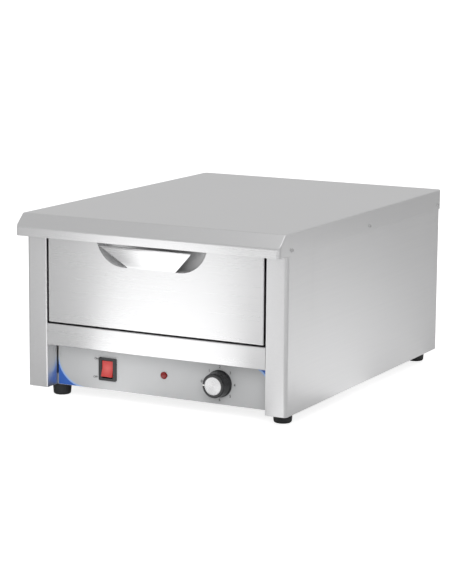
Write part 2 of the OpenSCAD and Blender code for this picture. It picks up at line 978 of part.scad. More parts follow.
module knob() {
    d = knob_depth;
    color("#1b1c1e")
        place()
            translate([knob_x, label_y, knob_z])
                rotate([90, 0, 0])
                    difference() {
                        rotate_extrude($fn = 96)
                            polygon([[0, 0.4], [skirt_r, 0.4], [skirt_r, 2.4], [skirt_r - 0.9, 3.6],
                                [skirt_r - 1.4, 4.8], [knob_ring_r + 1.1, d - 1.6], [knob_ring_r, d - 0.5],
                                [cap_r, d - 0.5], [cap_r, d - 1.6], [0, d - 1.6]]);
                        translate([0, 0, -1])
                            cylinder(r = bush_r + 4.6, h = 7);
                        translate([0, 0, -1])
                            cylinder(r = shaft_r + 0.02, h = d - 3);
                        pointer_slot();
                    }
}

// The pointer's place on the knob's front ring, at nine o'clock
module pointer_slot() {
    reach = knob_ring_r + 0.2;
    translate([-reach, -0.8, knob_depth - 1.6])
        cube([reach - cap_r - 0.3, 1.6, 1.1]);
}

module knob_pointer() {
    color("#f2f2f0")
        place()
            translate([knob_x, label_y, knob_z])
                rotate([90, 0, 0])
                    pointer_slot();
}

module knob_cap() {
    d = knob_depth;
    color("#cfd2d4")
        place()
            translate([knob_x, label_y, knob_z])
                rotate([90, 0, 0])
                    rotate_extrude($fn = 96)
                        polygon([[0, d - 1.6], [cap_r - 0.05, d - 1.6], [cap_r - 0.05, d - 0.4],
                            [cap_r - 0.8, d], [1, d - 0.3], [0, d - 0.3]]);
}

module thermostat_shaft() {
    color("#b9bcbf")
        place()
            rod_y(shaft_r, knob_x, label_y - knob_depth + 4.2, panel_back + 12, knob_z);
}

module thermostat_body() {
    color("#d9d5c8")
        place()
            difference() {
                union() {
                    block([knob_x - thermostat_w / 2, panel_back, knob_z - thermostat_h / 2 + 4],
                        [knob_x + thermostat_w / 2, panel_back + thermostat_d, knob_z + thermostat_h / 2 + 4]);
                    rod_y(bush_r, knob_x, label_y - nut_t - 0.5, panel_back + 1, knob_z);
                }
                rod_y(shaft_r + run_fit, knob_x, label_y - nut_t - 2, panel_back + 12.3, knob_z);
            }
}

module thermostat_nut() {
    color("#8f9294")
        place()
            translate([knob_x, label_y, knob_z])
                rotate([90, 0, 0])
                    hex_nut(14, bush_r + run_fit, nut_t);
}

module thermostat_bulb() {
    color("#b06a3c")
        place()
            rod_y(bulb_r, bulb_x, bulb_y, bulb_y + bulb_len, bulb_z);
}

module capillary_tube() {
    body_side = knob_x + thermostat_w / 2;
    color("#b87a4a")
        place()
            tube_run([[bulb_x, bulb_y, bulb_z], [bulb_x, element_front, bulb_z],
                [bulb_x, element_front, knob_z + 30], [body_side + 12, panel_back + 16, knob_z + 8],
                [body_side, panel_back + 16, knob_z + 8]], 0.9);
}

module bulb_clip() {
    color("#9b9d9f")
        place()
            difference() {
                for (y = [bulb_y + clip_inset, bulb_y + bulb_len - clip_inset])
                    block([bulb_x - bulb_r - 1, y - clip_t / 2, bulb_z - bulb_r - 1],
                        [inner_half, y + clip_t / 2, bulb_z + bulb_r + 1]);
                rod_y(bulb_r + run_fit, bulb_x, bulb_y, bulb_y + bulb_len, bulb_z);
            }
}

// Electrics in the space under the chamber floor

module overheat_cutout() {
    under = floor_top - sheet_t;
    color("#2a2b2d")
        place() {
            rod_z(cutout_r, cutout_x, cutout_y, under - cutout_t, under);
            block([cutout_x - cutout_r + 1, cutout_y - cutout_r, under - 2 * cutout_t],
                [cutout_x + cutout_r - 1, cutout_y + cutout_r, under - cutout_t + 0.1]);
        }
}

module terminal_block() {
    color("#e9e7e1")
        place()
            difference() {
                block([block_x - block_w / 2, block_y - block_d / 2, sheet_t],
                    [block_x + block_w / 2, block_y + block_d / 2, sheet_t + block_h]);
                for (i = [-2:2])
                    for (y = [block_y - block_d / 4, block_y + block_d / 4])
                        rod_z(2.6, block_x + i * terminal_pitch, y,
                            sheet_t + block_h - 10, sheet_t + block_h + 1);
            }
}

module wiring() {
    z = 12;
    front = block_y - block_d / 2 - 0.3;
    rear_of_switch = panel_back + 22.3;
    rear_of_stat = panel_back + thermostat_d + 0.6;
    floor_under = floor_top - sheet_t;
    color("#b8422c")
        place() {
            tube_run([[block_x - terminal_pitch, front, z], [block_x - terminal_pitch, 160, z],
                [switch_x - 5, 110, 20], [switch_x - 5, rear_of_switch, switch_z]], 1.6);
            tube_run([[switch_x + 5, rear_of_switch, switch_z], [switch_x + 5, 74, switch_z],
                [knob_x - 8, 84, knob_z + 6], [knob_x - 8, rear_of_stat, knob_z + 6]], 1.6);
            tube_run([[knob_x + 8, rear_of_stat, knob_z + 6], [knob_x + 8, 120, 50],
                [leg_xs[3], element_front - elbow_r, 56],
                [leg_xs[3], element_front - elbow_r, element_end_z - 0.3]], 1.6);
            tube_run([[block_x + terminal_pitch, front, z], [block_x + terminal_pitch, 240, z],
                [leg_xs[0], element_front - elbow_r + 30, 52], [leg_xs[0], element_front - elbow_r, 56],
                [leg_xs[0], element_front - elbow_r, element_end_z - 0.3]], 1.6);
            tube_run([[lamp_x, panel_back + 20.3, lamp_z], [lamp_x, 120, 24], [20, 230, 40],
                [cutout_x - 20, cutout_y, floor_under - 12],
                [cutout_x - cutout_r + 0.7, cutout_y, floor_under - 12]], 1.6);
        }
}

module earth_stud() {
    color("#c9a24a")
        place() {
            rod_z(foot_screw_r, stud_x, block_y, 0, sheet_t + 16);
            translate([stud_x, block_y, sheet_t])
                cylinder(r = 5, h = 4, $fn = 6);
        }
}

module cable_gland() {
    color("#232426")
        place()
            translate([gland_x, back_y + sheet_t, gland_z])
                rotate([-90, 0, 0])
                    difference() {
                        union() {
                            cylinder(r = 12.5, h = 5, $fn = 6);
                            cylinder(r = 10.5, h = gland_out - 4);
                            translate([0, 0, gland_out - 4])
                                cylinder(r1 = 10.5, r2 = 7.5, h = 4);
                            translate([0, 0, -9])
                                cylinder(r = gland_thread_r, h = 10);
                        }
                        translate([0, 0, -10])
                            cylinder(r = gland_bore_r, h = gland_out + 11);
                    }
}

module gland_nut() {
    color("#2c2d30")
        place()
            translate([gland_x, back_y - 5, gland_z])
                rotate([-90, 0, 0])
                    hex_nut(22, gland_thread_r + run_fit, 5);
}

// Feet and fasteners

module at_feet() {
    for (x = [-foot_x, foot_x])
        for (y = foot_ys)
            translate([x, y, 0])
                children();
}

module feet() {
    color("#151617")
        place()
            at_feet()
                difference() {
                    rotate_extrude()
                        polygon([[0, 0], [foot_r, 0], [foot_r, -2], [foot_r - 1, -foot_h + 2.4],
                            [foot_r - 1.6, -foot_h + 0.9], [foot_r - 2.8, -foot_h], [0, -foot_h]]);
                    translate([0, 0, -foot_h - 1])
                        cylinder(r = 5.5, h = 6);
                    translate([0, 0, -foot_h])
                        cylinder(r = foot_screw_r + screw_fit, h = foot_h + 1);
                }
}

module foot_screws() {
    color("#8f9294")
        place()
            at_feet()
                translate([0, 0, -foot_h + 5])
                    mirror([0, 0, 1])
                        dome_screw(4.2, 2.6, foot_screw_r, foot_h - 5 + sheet_t + 6);
}

module foot_nuts() {
    color("#8f9294")
        place()
            at_feet()
                translate([0, 0, sheet_t])
                    hex_nut(7, foot_screw_r + run_fit, 3.2);
}

module cover_screws() {
    color("#a5a8aa")
        place()
            for (side = [0, 1])
                mirror([side, 0, 0])
                    for (y = cover_screw_ys)
                        translate([cover_half, y, cover_screw_z])
                            rotate([0, 90, 0])
                                dome_screw(cover_head_r, 1.9, screw_r, 5);
}

module back_screws() {
    color("#a5a8aa")
        place()
            for (x = [-back_screw_x, back_screw_x])
                for (z = back_screw_zs)
                    translate([x, cab_d, z])
                        rotate([-90, 0, 0])
                            dome_screw(3.2, 1.9, screw_r, 6);
}

top_cover();
left_side_panel();
right_side_panel();
front_rail();
top_rail();
control_panel();
control_label();
label_accents();
base_plate();
back_panel();
left_chamber_wall();
right_chamber_wall();
rear_chamber_wall();
chamber_roof();
chamber_floor();
left_insulation();
right_insulation();
rear_insulation();
roof_insulation();
heating_element();
element_cradles();
drawer_front();
drawer_backing();
drawer_tub();
tub_ends();
left_fixed_slide();
right_fixed_slide();
left_middle_slide();
right_middle_slide();
left_drawer_slide();
right_drawer_slide();
slide_rivets();
tub_rivets();
drawer_front_screws();
switch_housing();
switch_rocker();
lamp_lens();
lamp_body();
lamp_nut();
knob();
knob_cap();
knob_pointer();
thermostat_shaft();
thermostat_body();
thermostat_nut();
capillary_tube();
thermostat_bulb();
bulb_clip();
overheat_cutout();
terminal_block();
wiring();
earth_stud();
cable_gland();
gland_nut();
feet();
foot_screws();
foot_nuts();
cover_screws();
back_screws();
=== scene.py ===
from math import cos, pi, radians, sin, tan

import bmesh
import bpy
from mathutils import Matrix, Vector


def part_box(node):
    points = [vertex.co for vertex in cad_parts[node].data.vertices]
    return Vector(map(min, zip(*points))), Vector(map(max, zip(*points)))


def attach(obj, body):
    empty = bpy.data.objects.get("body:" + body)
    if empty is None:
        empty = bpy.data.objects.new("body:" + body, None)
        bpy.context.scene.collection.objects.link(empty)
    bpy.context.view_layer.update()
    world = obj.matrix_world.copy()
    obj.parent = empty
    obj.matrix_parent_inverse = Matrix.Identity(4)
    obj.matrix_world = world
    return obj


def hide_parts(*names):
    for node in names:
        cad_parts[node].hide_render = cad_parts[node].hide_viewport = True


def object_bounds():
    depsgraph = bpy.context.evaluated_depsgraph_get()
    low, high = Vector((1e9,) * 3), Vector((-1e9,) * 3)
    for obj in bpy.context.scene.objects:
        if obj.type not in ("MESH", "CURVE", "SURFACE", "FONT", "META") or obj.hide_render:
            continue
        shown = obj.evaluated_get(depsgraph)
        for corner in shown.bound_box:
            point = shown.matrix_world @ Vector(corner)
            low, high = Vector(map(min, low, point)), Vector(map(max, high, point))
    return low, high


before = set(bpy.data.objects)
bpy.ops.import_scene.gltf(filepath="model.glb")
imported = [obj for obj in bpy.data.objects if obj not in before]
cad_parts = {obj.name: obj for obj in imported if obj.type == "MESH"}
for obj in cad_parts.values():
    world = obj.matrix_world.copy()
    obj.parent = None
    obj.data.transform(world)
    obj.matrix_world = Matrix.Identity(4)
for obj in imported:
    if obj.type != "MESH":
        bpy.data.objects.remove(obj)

CAD_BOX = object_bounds()
MM = 0.001
X, Y, Z = range(3)
RIGHT_ANGLE = radians(90)

# Places read from the frame

COVER_LOW, COVER_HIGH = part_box("top_cover")
PANEL_LOW, PANEL_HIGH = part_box("right_side_panel")
RAIL_LOW, RAIL_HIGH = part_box("front_rail")
BACKING_LOW, BACKING_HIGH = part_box("drawer_backing")
LABEL_LOW, LABEL_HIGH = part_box("control_label")
HOUSING_LOW, HOUSING_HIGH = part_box("switch_housing")
LENS_LOW, LENS_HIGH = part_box("lamp_lens")
KNOB_LOW, KNOB_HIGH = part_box("knob")

SHEET = 1.0 * MM
POST_FACE = PANEL_LOW.y
INNER_HALF = PANEL_LOW.x
HALF_W = PANEL_HIGH.x
CORNER_R = 5.0 * MM
LABEL_FACE = LABEL_LOW.y
SWITCH_X = (HOUSING_LOW.x + HOUSING_HIGH.x) / 2
SWITCH_Z = (HOUSING_LOW.z + HOUSING_HIGH.z) / 2
LAMP_X = (LENS_LOW.x + LENS_HIGH.x) / 2
LAMP_Z = (LENS_LOW.z + LENS_HIGH.z) / 2
KNOB_X = (KNOB_LOW.x + KNOB_HIGH.x) / 2
KNOB_Z = (KNOB_LOW.z + KNOB_HIGH.z) / 2

# Camera, solved from the photograph's straight edges

YAW = radians(27.808)
PITCH = radians(10.260)
ROLL = radians(0.409)
CAMERA_FROM_POST = Vector((1370.73, -2389.94, 648.66)) * MM
PHOTO_H = 584
FOCAL_PX = 2092.8
SENSOR_W = 36
VIEW_END = 50


def make_camera():
    forward = Vector((-sin(YAW) * cos(PITCH), cos(YAW) * cos(PITCH), -sin(PITCH)))
    level = Vector((cos(YAW), sin(YAW), 0))
    upright = level.cross(forward)
    right = level * cos(ROLL) + upright * sin(ROLL)
    up = upright * cos(ROLL) - level * sin(ROLL)
    data = bpy.data.cameras.new("photo_camera")
    data.sensor_width = SENSOR_W
    data.lens = FOCAL_PX * SENSOR_W / PHOTO_H
    data.clip_end = VIEW_END
    camera = bpy.data.objects.new("photo_camera", data)
    bpy.context.scene.collection.objects.link(camera)
    turn = Matrix((right, up, -forward)).transposed().to_4x4()
    post_foot = Vector((0, POST_FACE, PANEL_LOW.z))
    camera.matrix_world = Matrix.Translation(post_foot + CAMERA_FROM_POST) @ turn
    bpy.context.scene.camera = camera


# Mesh helpers

ALIGNED = 0.9
STRAIGHT = 0.999
CUT_PAST = 5.0 * MM


def deselect_all():
    for ob in bpy.context.selected_objects:
        ob.select_set(False)


def only(ob):
    deselect_all()
    ob.select_set(True)
    bpy.context.view_layer.objects.active = ob


def new_piece(name):
    """Names the primitive that was just added, and puts its place into its mesh."""
    ob = bpy.context.object
    ob.name = ob.data.name = name
    only(ob)
    bpy.ops.object.transform_apply(location=True, rotation=True, scale=True)
    return ob


def add_block(name, low, high):
    deselect_all()
    middle = (Vector(low) + Vector(high)) / 2
    bpy.ops.mesh.primitive_cube_add(size=1, location=middle, scale=Vector(high) - Vector(low))
    return new_piece(name)


def add_ring(name, centre, radius, steps, axis):
    """A flat ring of vertices about the axis X or Y."""
    deselect_all()
    turn = (0, RIGHT_ANGLE, 0) if axis == X else (RIGHT_ANGLE, 0, 0)
    bpy.ops.mesh.primitive_circle_add(vertices=steps, radius=radius, location=centre, rotation=turn)
    return new_piece(name)


def pick(ob, kind, rule):
    """In edit mode, selects only the vertices, edges or faces that the rule takes."""
    bpy.context.tool_settings.mesh_select_mode = (kind == "verts", kind == "edges", kind == "faces")
    mesh = bmesh.from_edit_mesh(ob.data)
    for part in (mesh.verts, mesh.edges, mesh.faces):
        for item in part:
            item.select = False
    for item in getattr(mesh, kind):
        if rule(item):
            item.select_set(True)
    bmesh.update_edit_mesh(ob.data)


def near(a, b, slack=0.05 * MM):
    return abs(a - b) < slack


def middle_of(edge):
    return (edge.verts[0].co + edge.verts[1].co) / 2


def runs_along(edge, axis):
    way = (edge.verts[0].co - edge.verts[1].co).normalized()
    return abs(way[axis]) > STRAIGHT


def stands_at(edge, x=None, y=None):
    """Whether the edge stands upright at this x, at this y or at both."""
    place = middle_of(edge)
    return runs_along(edge, Z) and (x is None or near(place.x, x)) and (y is None or near(place.y, y))


def looks(face, axis, sign=0):
    """Whether the face looks along the axis, towards one end, or either end if the sign is 0."""
    along = face.normal[axis]
    return along * sign > ALIGNED if sign else abs(along) > ALIGNED


def edit(ob):
    only(ob)
    bpy.ops.object.mode_set(mode="EDIT")


def done():
    bpy.ops.object.mode_set(mode="OBJECT")


def select_all():
    bpy.ops.mesh.select_all(action="SELECT")


def turn_outward():
    select_all()
    bpy.ops.mesh.normals_make_consistent(inside=False)


def turn_widest(ob, direction):
    """In edit mode, turns an open sheet over if its widest face doesn't look along the direction."""
    mesh = bmesh.from_edit_mesh(ob.data)
    widest = max(mesh.faces, key=lambda f: f.calc_area())
    if widest.normal.dot(Vector(direction)) < 0:
        select_all()
        bpy.ops.mesh.flip_normals()


def extrude(move):
    bpy.ops.mesh.extrude_region_move(TRANSFORM_OT_translate={"value": move})


def bevel_selected(radius, steps, kind="EDGES"):
    bpy.ops.mesh.bevel(offset=radius, segments=steps, affect=kind, profile=0.5, clamp_overlap=True)


def apply_modifier(ob, kind, **values):
    only(ob)
    modifier = ob.modifiers.new(kind.lower(), kind)
    for key, value in values.items():
        setattr(modifier, key, value)
    bpy.ops.object.modifier_apply(modifier=modifier.name)


def give_thickness(ob, thickness):
    """Grows the wall inwards from the outer faces."""
    apply_modifier(ob, "SOLIDIFY", thickness=thickness, offset=-1, use_even_offset=True)


def soften(ob, width, steps=2, angle=35):
    apply_modifier(ob, "BEVEL", width=width, segments=steps, limit_method="ANGLE",
                   angle_limit=radians(angle), harden_normals=False)


def smooth(ob, angle=32):
    only(ob)
    bpy.ops.object.shade_smooth_by_angle(angle=radians(angle))
    apply_modifier(ob, "WEIGHTED_NORMAL", mode="FACE_AREA", weight=100, keep_sharp=True)


def cut_with(ob, cutter):
    """Takes the cutter's shape out of the piece, and deletes the cutter."""
    apply_modifier(ob, "BOOLEAN", operation="DIFFERENCE", object=cutter, solver="EXACT")
    bpy.data.objects.remove(cutter)


def join_pieces(name, pieces):
    deselect_all()
    for ob in pieces:
        ob.select_set(True)
    bpy.context.view_layer.objects.active = pieces[0]
    bpy.ops.object.join()
    pieces[0].name = pieces[0].data.name = name
    return pieces[0]


def finish_piece(ob, body, material, replaced=()):
    ob.data.materials.clear()
    ob.data.materials.append(material)
    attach(ob, body)
    if replaced:
        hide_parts(*replaced)


def revolve(name, centre, profile, steps):
    """A turned piece: rings are extruded from a first ring along the profile of (radius, distance) points
    in millimetres. Distance runs towards the front. The first and last rings are closed."""
    rings = [(radius * MM, distance * MM) for radius, distance in profile]
    out = Vector((0, -1, 0))
    radius, place = rings[0]
    ob = add_ring(name, Vector(centre) + out * place, radius, steps, Y)
    edit(ob)
    select_all()
    bpy.ops.mesh.edge_face_add()
    for next_radius, next_place in rings[1:]:
        extrude(out * (next_place - place))
        if next_radius != radius:
            share = next_radius / radius
            bpy.ops.transform.resize(value=(share, 1, share))
        radius, place = next_radius, next_place
    turn_outward()
    done()
    return ob


# Shader node groups

COARSE_SCALE = 0.23
COARSE_SHARE = 0.35
CLOUD_SHARE = 0.2
CLOUD_DRIFT = 0.05
GRAIN_SPREAD = 1.8
GRAIN_GAIN = 3.0
SKIN_CLOUD = 45.0
SKIN_GAIN = 2.0
WORN_SHARE = 0.6


def new_group(name, inputs, outputs):
    group = bpy.data.node_groups.new(name, "ShaderNodeTree")
    for label, kind, value in inputs:
        socket = group.interface.new_socket(name=label, in_out="INPUT", socket_type=kind)
        if value is not None:
            socket.default_value = value
    for label, kind in outputs:
        group.interface.new_socket(name=label, in_out="OUTPUT", socket_type=kind)
    return group, group.nodes.new("NodeGroupInput"), group.nodes.new("NodeGroupOutput")


def node_in(tree, kind, **values):
    node = tree.nodes.new(kind)
    for key, value in values.items():
        setattr(node, key, value)
    return node


def math_node(tree, operation, a, b=None):
    node = node_in(tree, "ShaderNodeMath", operation=operation)
    for i, value in enumerate((a, b)):
        if isinstance(value, (int, float)):
            node.inputs[i].default_value = value
        elif value is not None:
            tree.links.new(value, node.inputs[i])
    return node.outputs[0]


def centred(tree, value):
    return math_node(tree, "SUBTRACT", value, 0.5)


def weighed(tree, a, b, share):
    """The given share of b, and the rest of a."""
    rest = math_node(tree, "MULTIPLY", a, 1 - share)
    return math_node(tree, "ADD", rest, math_node(tree, "MULTIPLY", b, share))


def noise_node(tree, vector, scale, detail, roughness=0.5):
    """The scale is a constant or the output of a node."""
    node = node_in(tree, "ShaderNodeTexNoise")
    node.inputs["Detail"].default_value = detail
    node.inputs["Roughness"].default_value = roughness
    tree.links.new(vector, node.inputs["Vector"])
    if isinstance(scale, (int, float)):
        node.inputs["Scale"].default_value = scale
    else:
        tree.links.new(scale, node.inputs["Scale"])
    return node.outputs["Fac"]


def colour_mix(tree, factor, a, b):
    """Mixes two colours, each a constant or the output of a node."""
    mix = node_in(tree, "ShaderNodeMix", data_type="RGBA")
    tree.links.new(factor, mix.inputs["Factor"])
    for label, value in (("A", a), ("B", b)):
        if isinstance(value, tuple):
            mix.inputs[label].default_value = value
        else:
            tree.links.new(value, mix.inputs[label])
    return mix.outputs["Result"]


def brushed_group():
    """Fine parallel scratches. Grain Scale squeezes the pattern across the grain and stretches it
    along the grain."""
    tree, inp, out = new_group(
        "brushed_grain",
        [("Vector", "NodeSocketVector", None), ("Grain Scale", "NodeSocketVector", (20, 900, 900)),
         ("Roughness", "NodeSocketFloat", 0.3), ("Roughness Swing", "NodeSocketFloat", 0.08),
         ("Light", "NodeSocketColor", (0.7, 0.7, 0.7, 1)), ("Dark", "NodeSocketColor", (0.6, 0.6, 0.6, 1)),
         ("Cloud Scale", "NodeSocketFloat", 6.0)],
        [("Color", "NodeSocketColor"), ("Roughness", "NodeSocketFloat"), ("Height", "NodeSocketFloat")])
    stretched = node_in(tree, "ShaderNodeVectorMath", operation="MULTIPLY")
    tree.links.new(inp.outputs["Vector"], stretched.inputs[0])
    tree.links.new(inp.outputs["Grain Scale"], stretched.inputs[1])
    fine = noise_node(tree, stretched.outputs[0], 1.0, detail=4.0, roughness=0.65)
    coarse = noise_node(tree, stretched.outputs[0], COARSE_SCALE, detail=2.0)
    cloud = noise_node(tree, inp.outputs["Vector"], inp.outputs["Cloud Scale"], detail=2.0)
    grain = weighed(tree, fine, coarse, COARSE_SHARE)
    even_grain = centred(tree, grain)
    swing = math_node(tree, "MULTIPLY", even_grain, inp.outputs["Roughness Swing"])
    drift = math_node(tree, "MULTIPLY", centred(tree, cloud), CLOUD_DRIFT)
    wide_swing = math_node(tree, "MULTIPLY", swing, GRAIN_GAIN)
    grained = math_node(tree, "ADD", inp.outputs["Roughness"], wide_swing)
    rough = math_node(tree, "ADD", grained, drift)
    spread = math_node(tree, "ADD", math_node(tree, "MULTIPLY", even_grain, GRAIN_SPREAD), 0.5)
    tone = weighed(tree, spread, cloud, CLOUD_SHARE)
    colour = colour_mix(tree, tone, inp.outputs["Dark"], inp.outputs["Light"])
    tree.links.new(colour, out.inputs["Color"])
    tree.links.new(rough, out.inputs["Roughness"])
    tree.links.new(grain, out.inputs["Height"])
    return tree


def moulded_group():
    """The faint grain and cloudy gloss of moulded plastic and rubber."""
    tree, inp, out = new_group(
        "moulded_skin",
        [("Vector", "NodeSocketVector", None), ("Scale", "NodeSocketFloat", 900.0),
         ("Base", "NodeSocketColor", (0.02, 0.02, 0.02, 1)),
         ("Worn", "NodeSocketColor", (0.05, 0.05, 0.05, 1)),
         ("Roughness", "NodeSocketFloat", 0.35), ("Roughness Swing", "NodeSocketFloat", 0.12)],
        [("Color", "NodeSocketColor"), ("Roughness", "NodeSocketFloat"), ("Height", "NodeSocketFloat")])
    grain = noise_node(tree, inp.outputs["Vector"], inp.outputs["Scale"], detail=3.0)
    cloud = noise_node(tree, inp.outputs["Vector"], SKIN_CLOUD, detail=2.0, roughness=0.55)
    wear = math_node(tree, "MULTIPLY", cloud, WORN_SHARE)
    colour = colour_mix(tree, wear, inp.outputs["Base"], inp.outputs["Worn"])
    swing = math_node(tree, "MULTIPLY", centred(tree, cloud), inp.outputs["Roughness Swing"])
    wide_swing = math_node(tree, "MULTIPLY", swing, SKIN_GAIN)
    rough = math_node(tree, "ADD", inp.outputs["Roughness"], wide_swing)
    tree.links.new(colour, out.inputs["Color"])
    tree.links.new(rough, out.inputs["Roughness"])
    tree.links.new(grain, out.inputs["Height"])
    return tree


# Materials

QUARTER_TURN = 0.25
SCRATCH_DEPTH = 0.02 * MM
SKIN_DEPTH = 0.05 * MM
LIGHT_TINT = 1.005
DARK_TINT = 1.01

ACCENT_R = 44.0 * MM
PALE_EDGE = 2.4 * MM
ACCENT_BLUE = (0.022, 0.10, 0.42, 1)
ACCENT_WORN = (0.03, 0.12, 0.46, 1)
ACCENT_PALE = (0.28, 0.42, 0.70, 1)

# Painted highlight on the red rocker: an emission that is pinkish and strongest in its middle and faint red
# towards its rim
PAINTED_SHEEN_R = 9.0 * MM
PAINTED_SHEEN_STRENGTH = 0.16
PAINTED_SHEEN_RIM = (0.25, 0.0, 0.0, 1)
PAINTED_SHEEN_MIDDLE = (0.9, 0.45, 0.42, 1)
ROCKER_RED = (0.42, 0.040, 0.036, 1)
ROCKER_WORN = (0.48, 0.060, 0.055, 1)


def new_material(name):
    material = bpy.data.materials.new(name)
    material.use_nodes = True
    tree = material.node_tree
    shader = tree.nodes["Principled BSDF"]
    place = node_in(tree, "ShaderNodeTexCoord")
    return material, tree, shader, place.outputs["Object"]


def use_group(tree, group, vector, **values):
    node = node_in(tree, "ShaderNodeGroup")
    node.node_tree = group
    tree.links.new(vector, node.inputs["Vector"])
    for key, value in values.items():
        node.inputs[key.replace("_", " ")].default_value = value
    return node


def link_surface(tree, shader, group_node, strength, depth):
    """Gives the shader the group's colour and roughness, and a bump of its height."""
    tree.links.new(group_node.outputs["Color"], shader.inputs["Base Color"])
    tree.links.new(group_node.outputs["Roughness"], shader.inputs["Roughness"])
    bump = node_in(tree, "ShaderNodeBump")
    bump.inputs["Strength"].default_value = strength
    bump.inputs["Distance"].default_value = depth
    tree.links.new(group_node.outputs["Height"], bump.inputs["Height"])
    tree.links.new(bump.outputs["Normal"], shader.inputs["Normal"])


def grey(value, blue=1.0):
    return (value, value, value * blue, 1)


def brushed_steel(name, grain, light, dark, roughness, swing, bump=0.06, pull=0.0, around="Z", metallic=1.0):
    """pull is the strength of the anisotropic highlight, and around is the axis that its tangents turn
    about."""
    material, tree, shader, place = new_material(name)
    shader.inputs["Metallic"].default_value = metallic
    if pull:
        shader.inputs["Anisotropic"].default_value = pull
        shader.inputs["Anisotropic Rotation"].default_value = QUARTER_TURN
        tangent = node_in(tree, "ShaderNodeTangent", direction_type="RADIAL", axis=around)
        tree.links.new(tangent.outputs["Tangent"], shader.inputs["Tangent"])
    node = use_group(tree, BRUSHED, place, Grain_Scale=grain, Roughness=roughness, Roughness_Swing=swing,
                     Light=grey(light, LIGHT_TINT), Dark=grey(dark, DARK_TINT))
    link_surface(tree, shader, node, strength=bump, depth=SCRATCH_DEPTH)
    return material


def moulded(name, base, worn, roughness, swing, scale=900.0, bump=0.1):
    material, tree, shader, place = new_material(name)
    node = use_group(tree, MOULDED, place, Scale=scale, Base=(*base, 1), Worn=(*worn, 1),
                     Roughness=roughness, Roughness_Swing=swing)
    link_surface(tree, shader, node, strength=bump, depth=SKIN_DEPTH)
    return material


def distance_from(tree, place, x, z):
    """The distance in the front view from a point of the panel."""
    split = node_in(tree, "ShaderNodeSeparateXYZ")
    tree.links.new(place, split.inputs[0])
    across = math_node(tree, "SUBTRACT", split.outputs["X"], x)
    upwards = math_node(tree, "SUBTRACT", split.outputs["Z"], z)
    across_squared = math_node(tree, "MULTIPLY", across, across)
    upwards_squared = math_node(tree, "MULTIPLY", upwards, upwards)
    return math_node(tree, "SQRT", math_node(tree, "ADD", across_squared, upwards_squared))


def make_accent_film():
    """Blue film with a pale edge along both concave curves."""
    material, tree, shader, place = new_material("accent_film")
    node = use_group(tree, MOULDED, place, Scale=2500.0, Base=ACCENT_BLUE, Worn=ACCENT_WORN,
                     Roughness=0.40, Roughness_Swing=0.06)
    link_surface(tree, shader, node, strength=0.05, depth=SKIN_DEPTH)
    reach = ACCENT_R + PALE_EDGE
    low = distance_from(tree, place, LABEL_LOW.x + ACCENT_R, LABEL_LOW.z + ACCENT_R)
    high = distance_from(tree, place, LABEL_HIGH.x - ACCENT_R, LABEL_HIGH.z - ACCENT_R)
    low_edge = math_node(tree, "LESS_THAN", low, reach)
    mask = math_node(tree, "MAXIMUM", low_edge, math_node(tree, "LESS_THAN", high, reach))
    colour = colour_mix(tree, mask, node.outputs["Color"], ACCENT_PALE)
    tree.links.new(colour, shader.inputs["Base Color"])
    return material


def make_rocker_plastic():
    """Red plastic with a painted highlight: a faint red emission over the whole rocker, pinkish and
    strongest in its middle, stands in for the sheen of its gloss.
    """
    material, tree, shader, place = new_material("red_rocker")
    node = use_group(tree, MOULDED, place, Scale=900.0, Base=ROCKER_RED, Worn=ROCKER_WORN,
                     Roughness=0.34, Roughness_Swing=0.08)
    link_surface(tree, shader, node, strength=0.05, depth=SKIN_DEPTH)
    # Painted highlight: the pinkish part of the emission fades from the middle of the switch to nothing at
    # this radius
    away = math_node(tree, "DIVIDE", distance_from(tree, place, SWITCH_X, SWITCH_Z), PAINTED_SHEEN_R)
    glow = math_node(tree, "MAXIMUM", math_node(tree, "SUBTRACT", 1.0, away), 0.0)
    colour = colour_mix(tree, glow, PAINTED_SHEEN_RIM, PAINTED_SHEEN_MIDDLE)
    tree.links.new(colour, shader.inputs["Emission Color"])
    shader.inputs["Emission Strength"].default_value = PAINTED_SHEEN_STRENGTH
    return material


def even(scale):
    return (scale, scale, scale)


BRUSHED = brushed_group()
MOULDED = moulded_group()
ALONG_X = (12, 700, 1400)
COVER_GRAIN = (1400, 14, 260)
CASING_GRAIN = (700, 14, 1400)

COVER_STEEL = brushed_steel("cover_steel", COVER_GRAIN, light=0.775, dark=0.75, roughness=0.30,
                            swing=0.02, bump=0.015)
# The cover's front lip: brushing along X, and a lighter tone than the cover steel, which is painted light
# that brightens the faces looking to the front
LIP_STEEL = brushed_steel("lip_steel", ALONG_X, light=0.84, dark=0.80, roughness=0.28,
                          swing=0.04, bump=0.03, pull=0.75)
CASING_STEEL = brushed_steel("casing_steel", CASING_GRAIN, light=0.78, dark=0.71, roughness=0.35,
                             swing=0.06, pull=0.5)
DRAWER_STEEL = brushed_steel("drawer_steel", ALONG_X, light=0.76, dark=0.73, roughness=0.28,
                             swing=0.03, bump=0.02, pull=0.75)
INNER_STEEL = brushed_steel("inner_steel", even(300), light=0.52, dark=0.44, roughness=0.40, swing=0.06)
BACKING_STEEL = brushed_steel("backing_steel", ALONG_X, light=0.84, dark=0.78, roughness=0.60, swing=0.06)
ZINC = brushed_steel("slide_zinc", even(300), light=0.60, dark=0.50, roughness=0.38, swing=0.08)
FASTENER = brushed_steel("fastener_steel", even(900), light=0.62, dark=0.52, roughness=0.33, swing=0.08)
ELEMENT = brushed_steel("element_sheath", even(200), light=0.22, dark=0.12, roughness=0.5, swing=0.1)
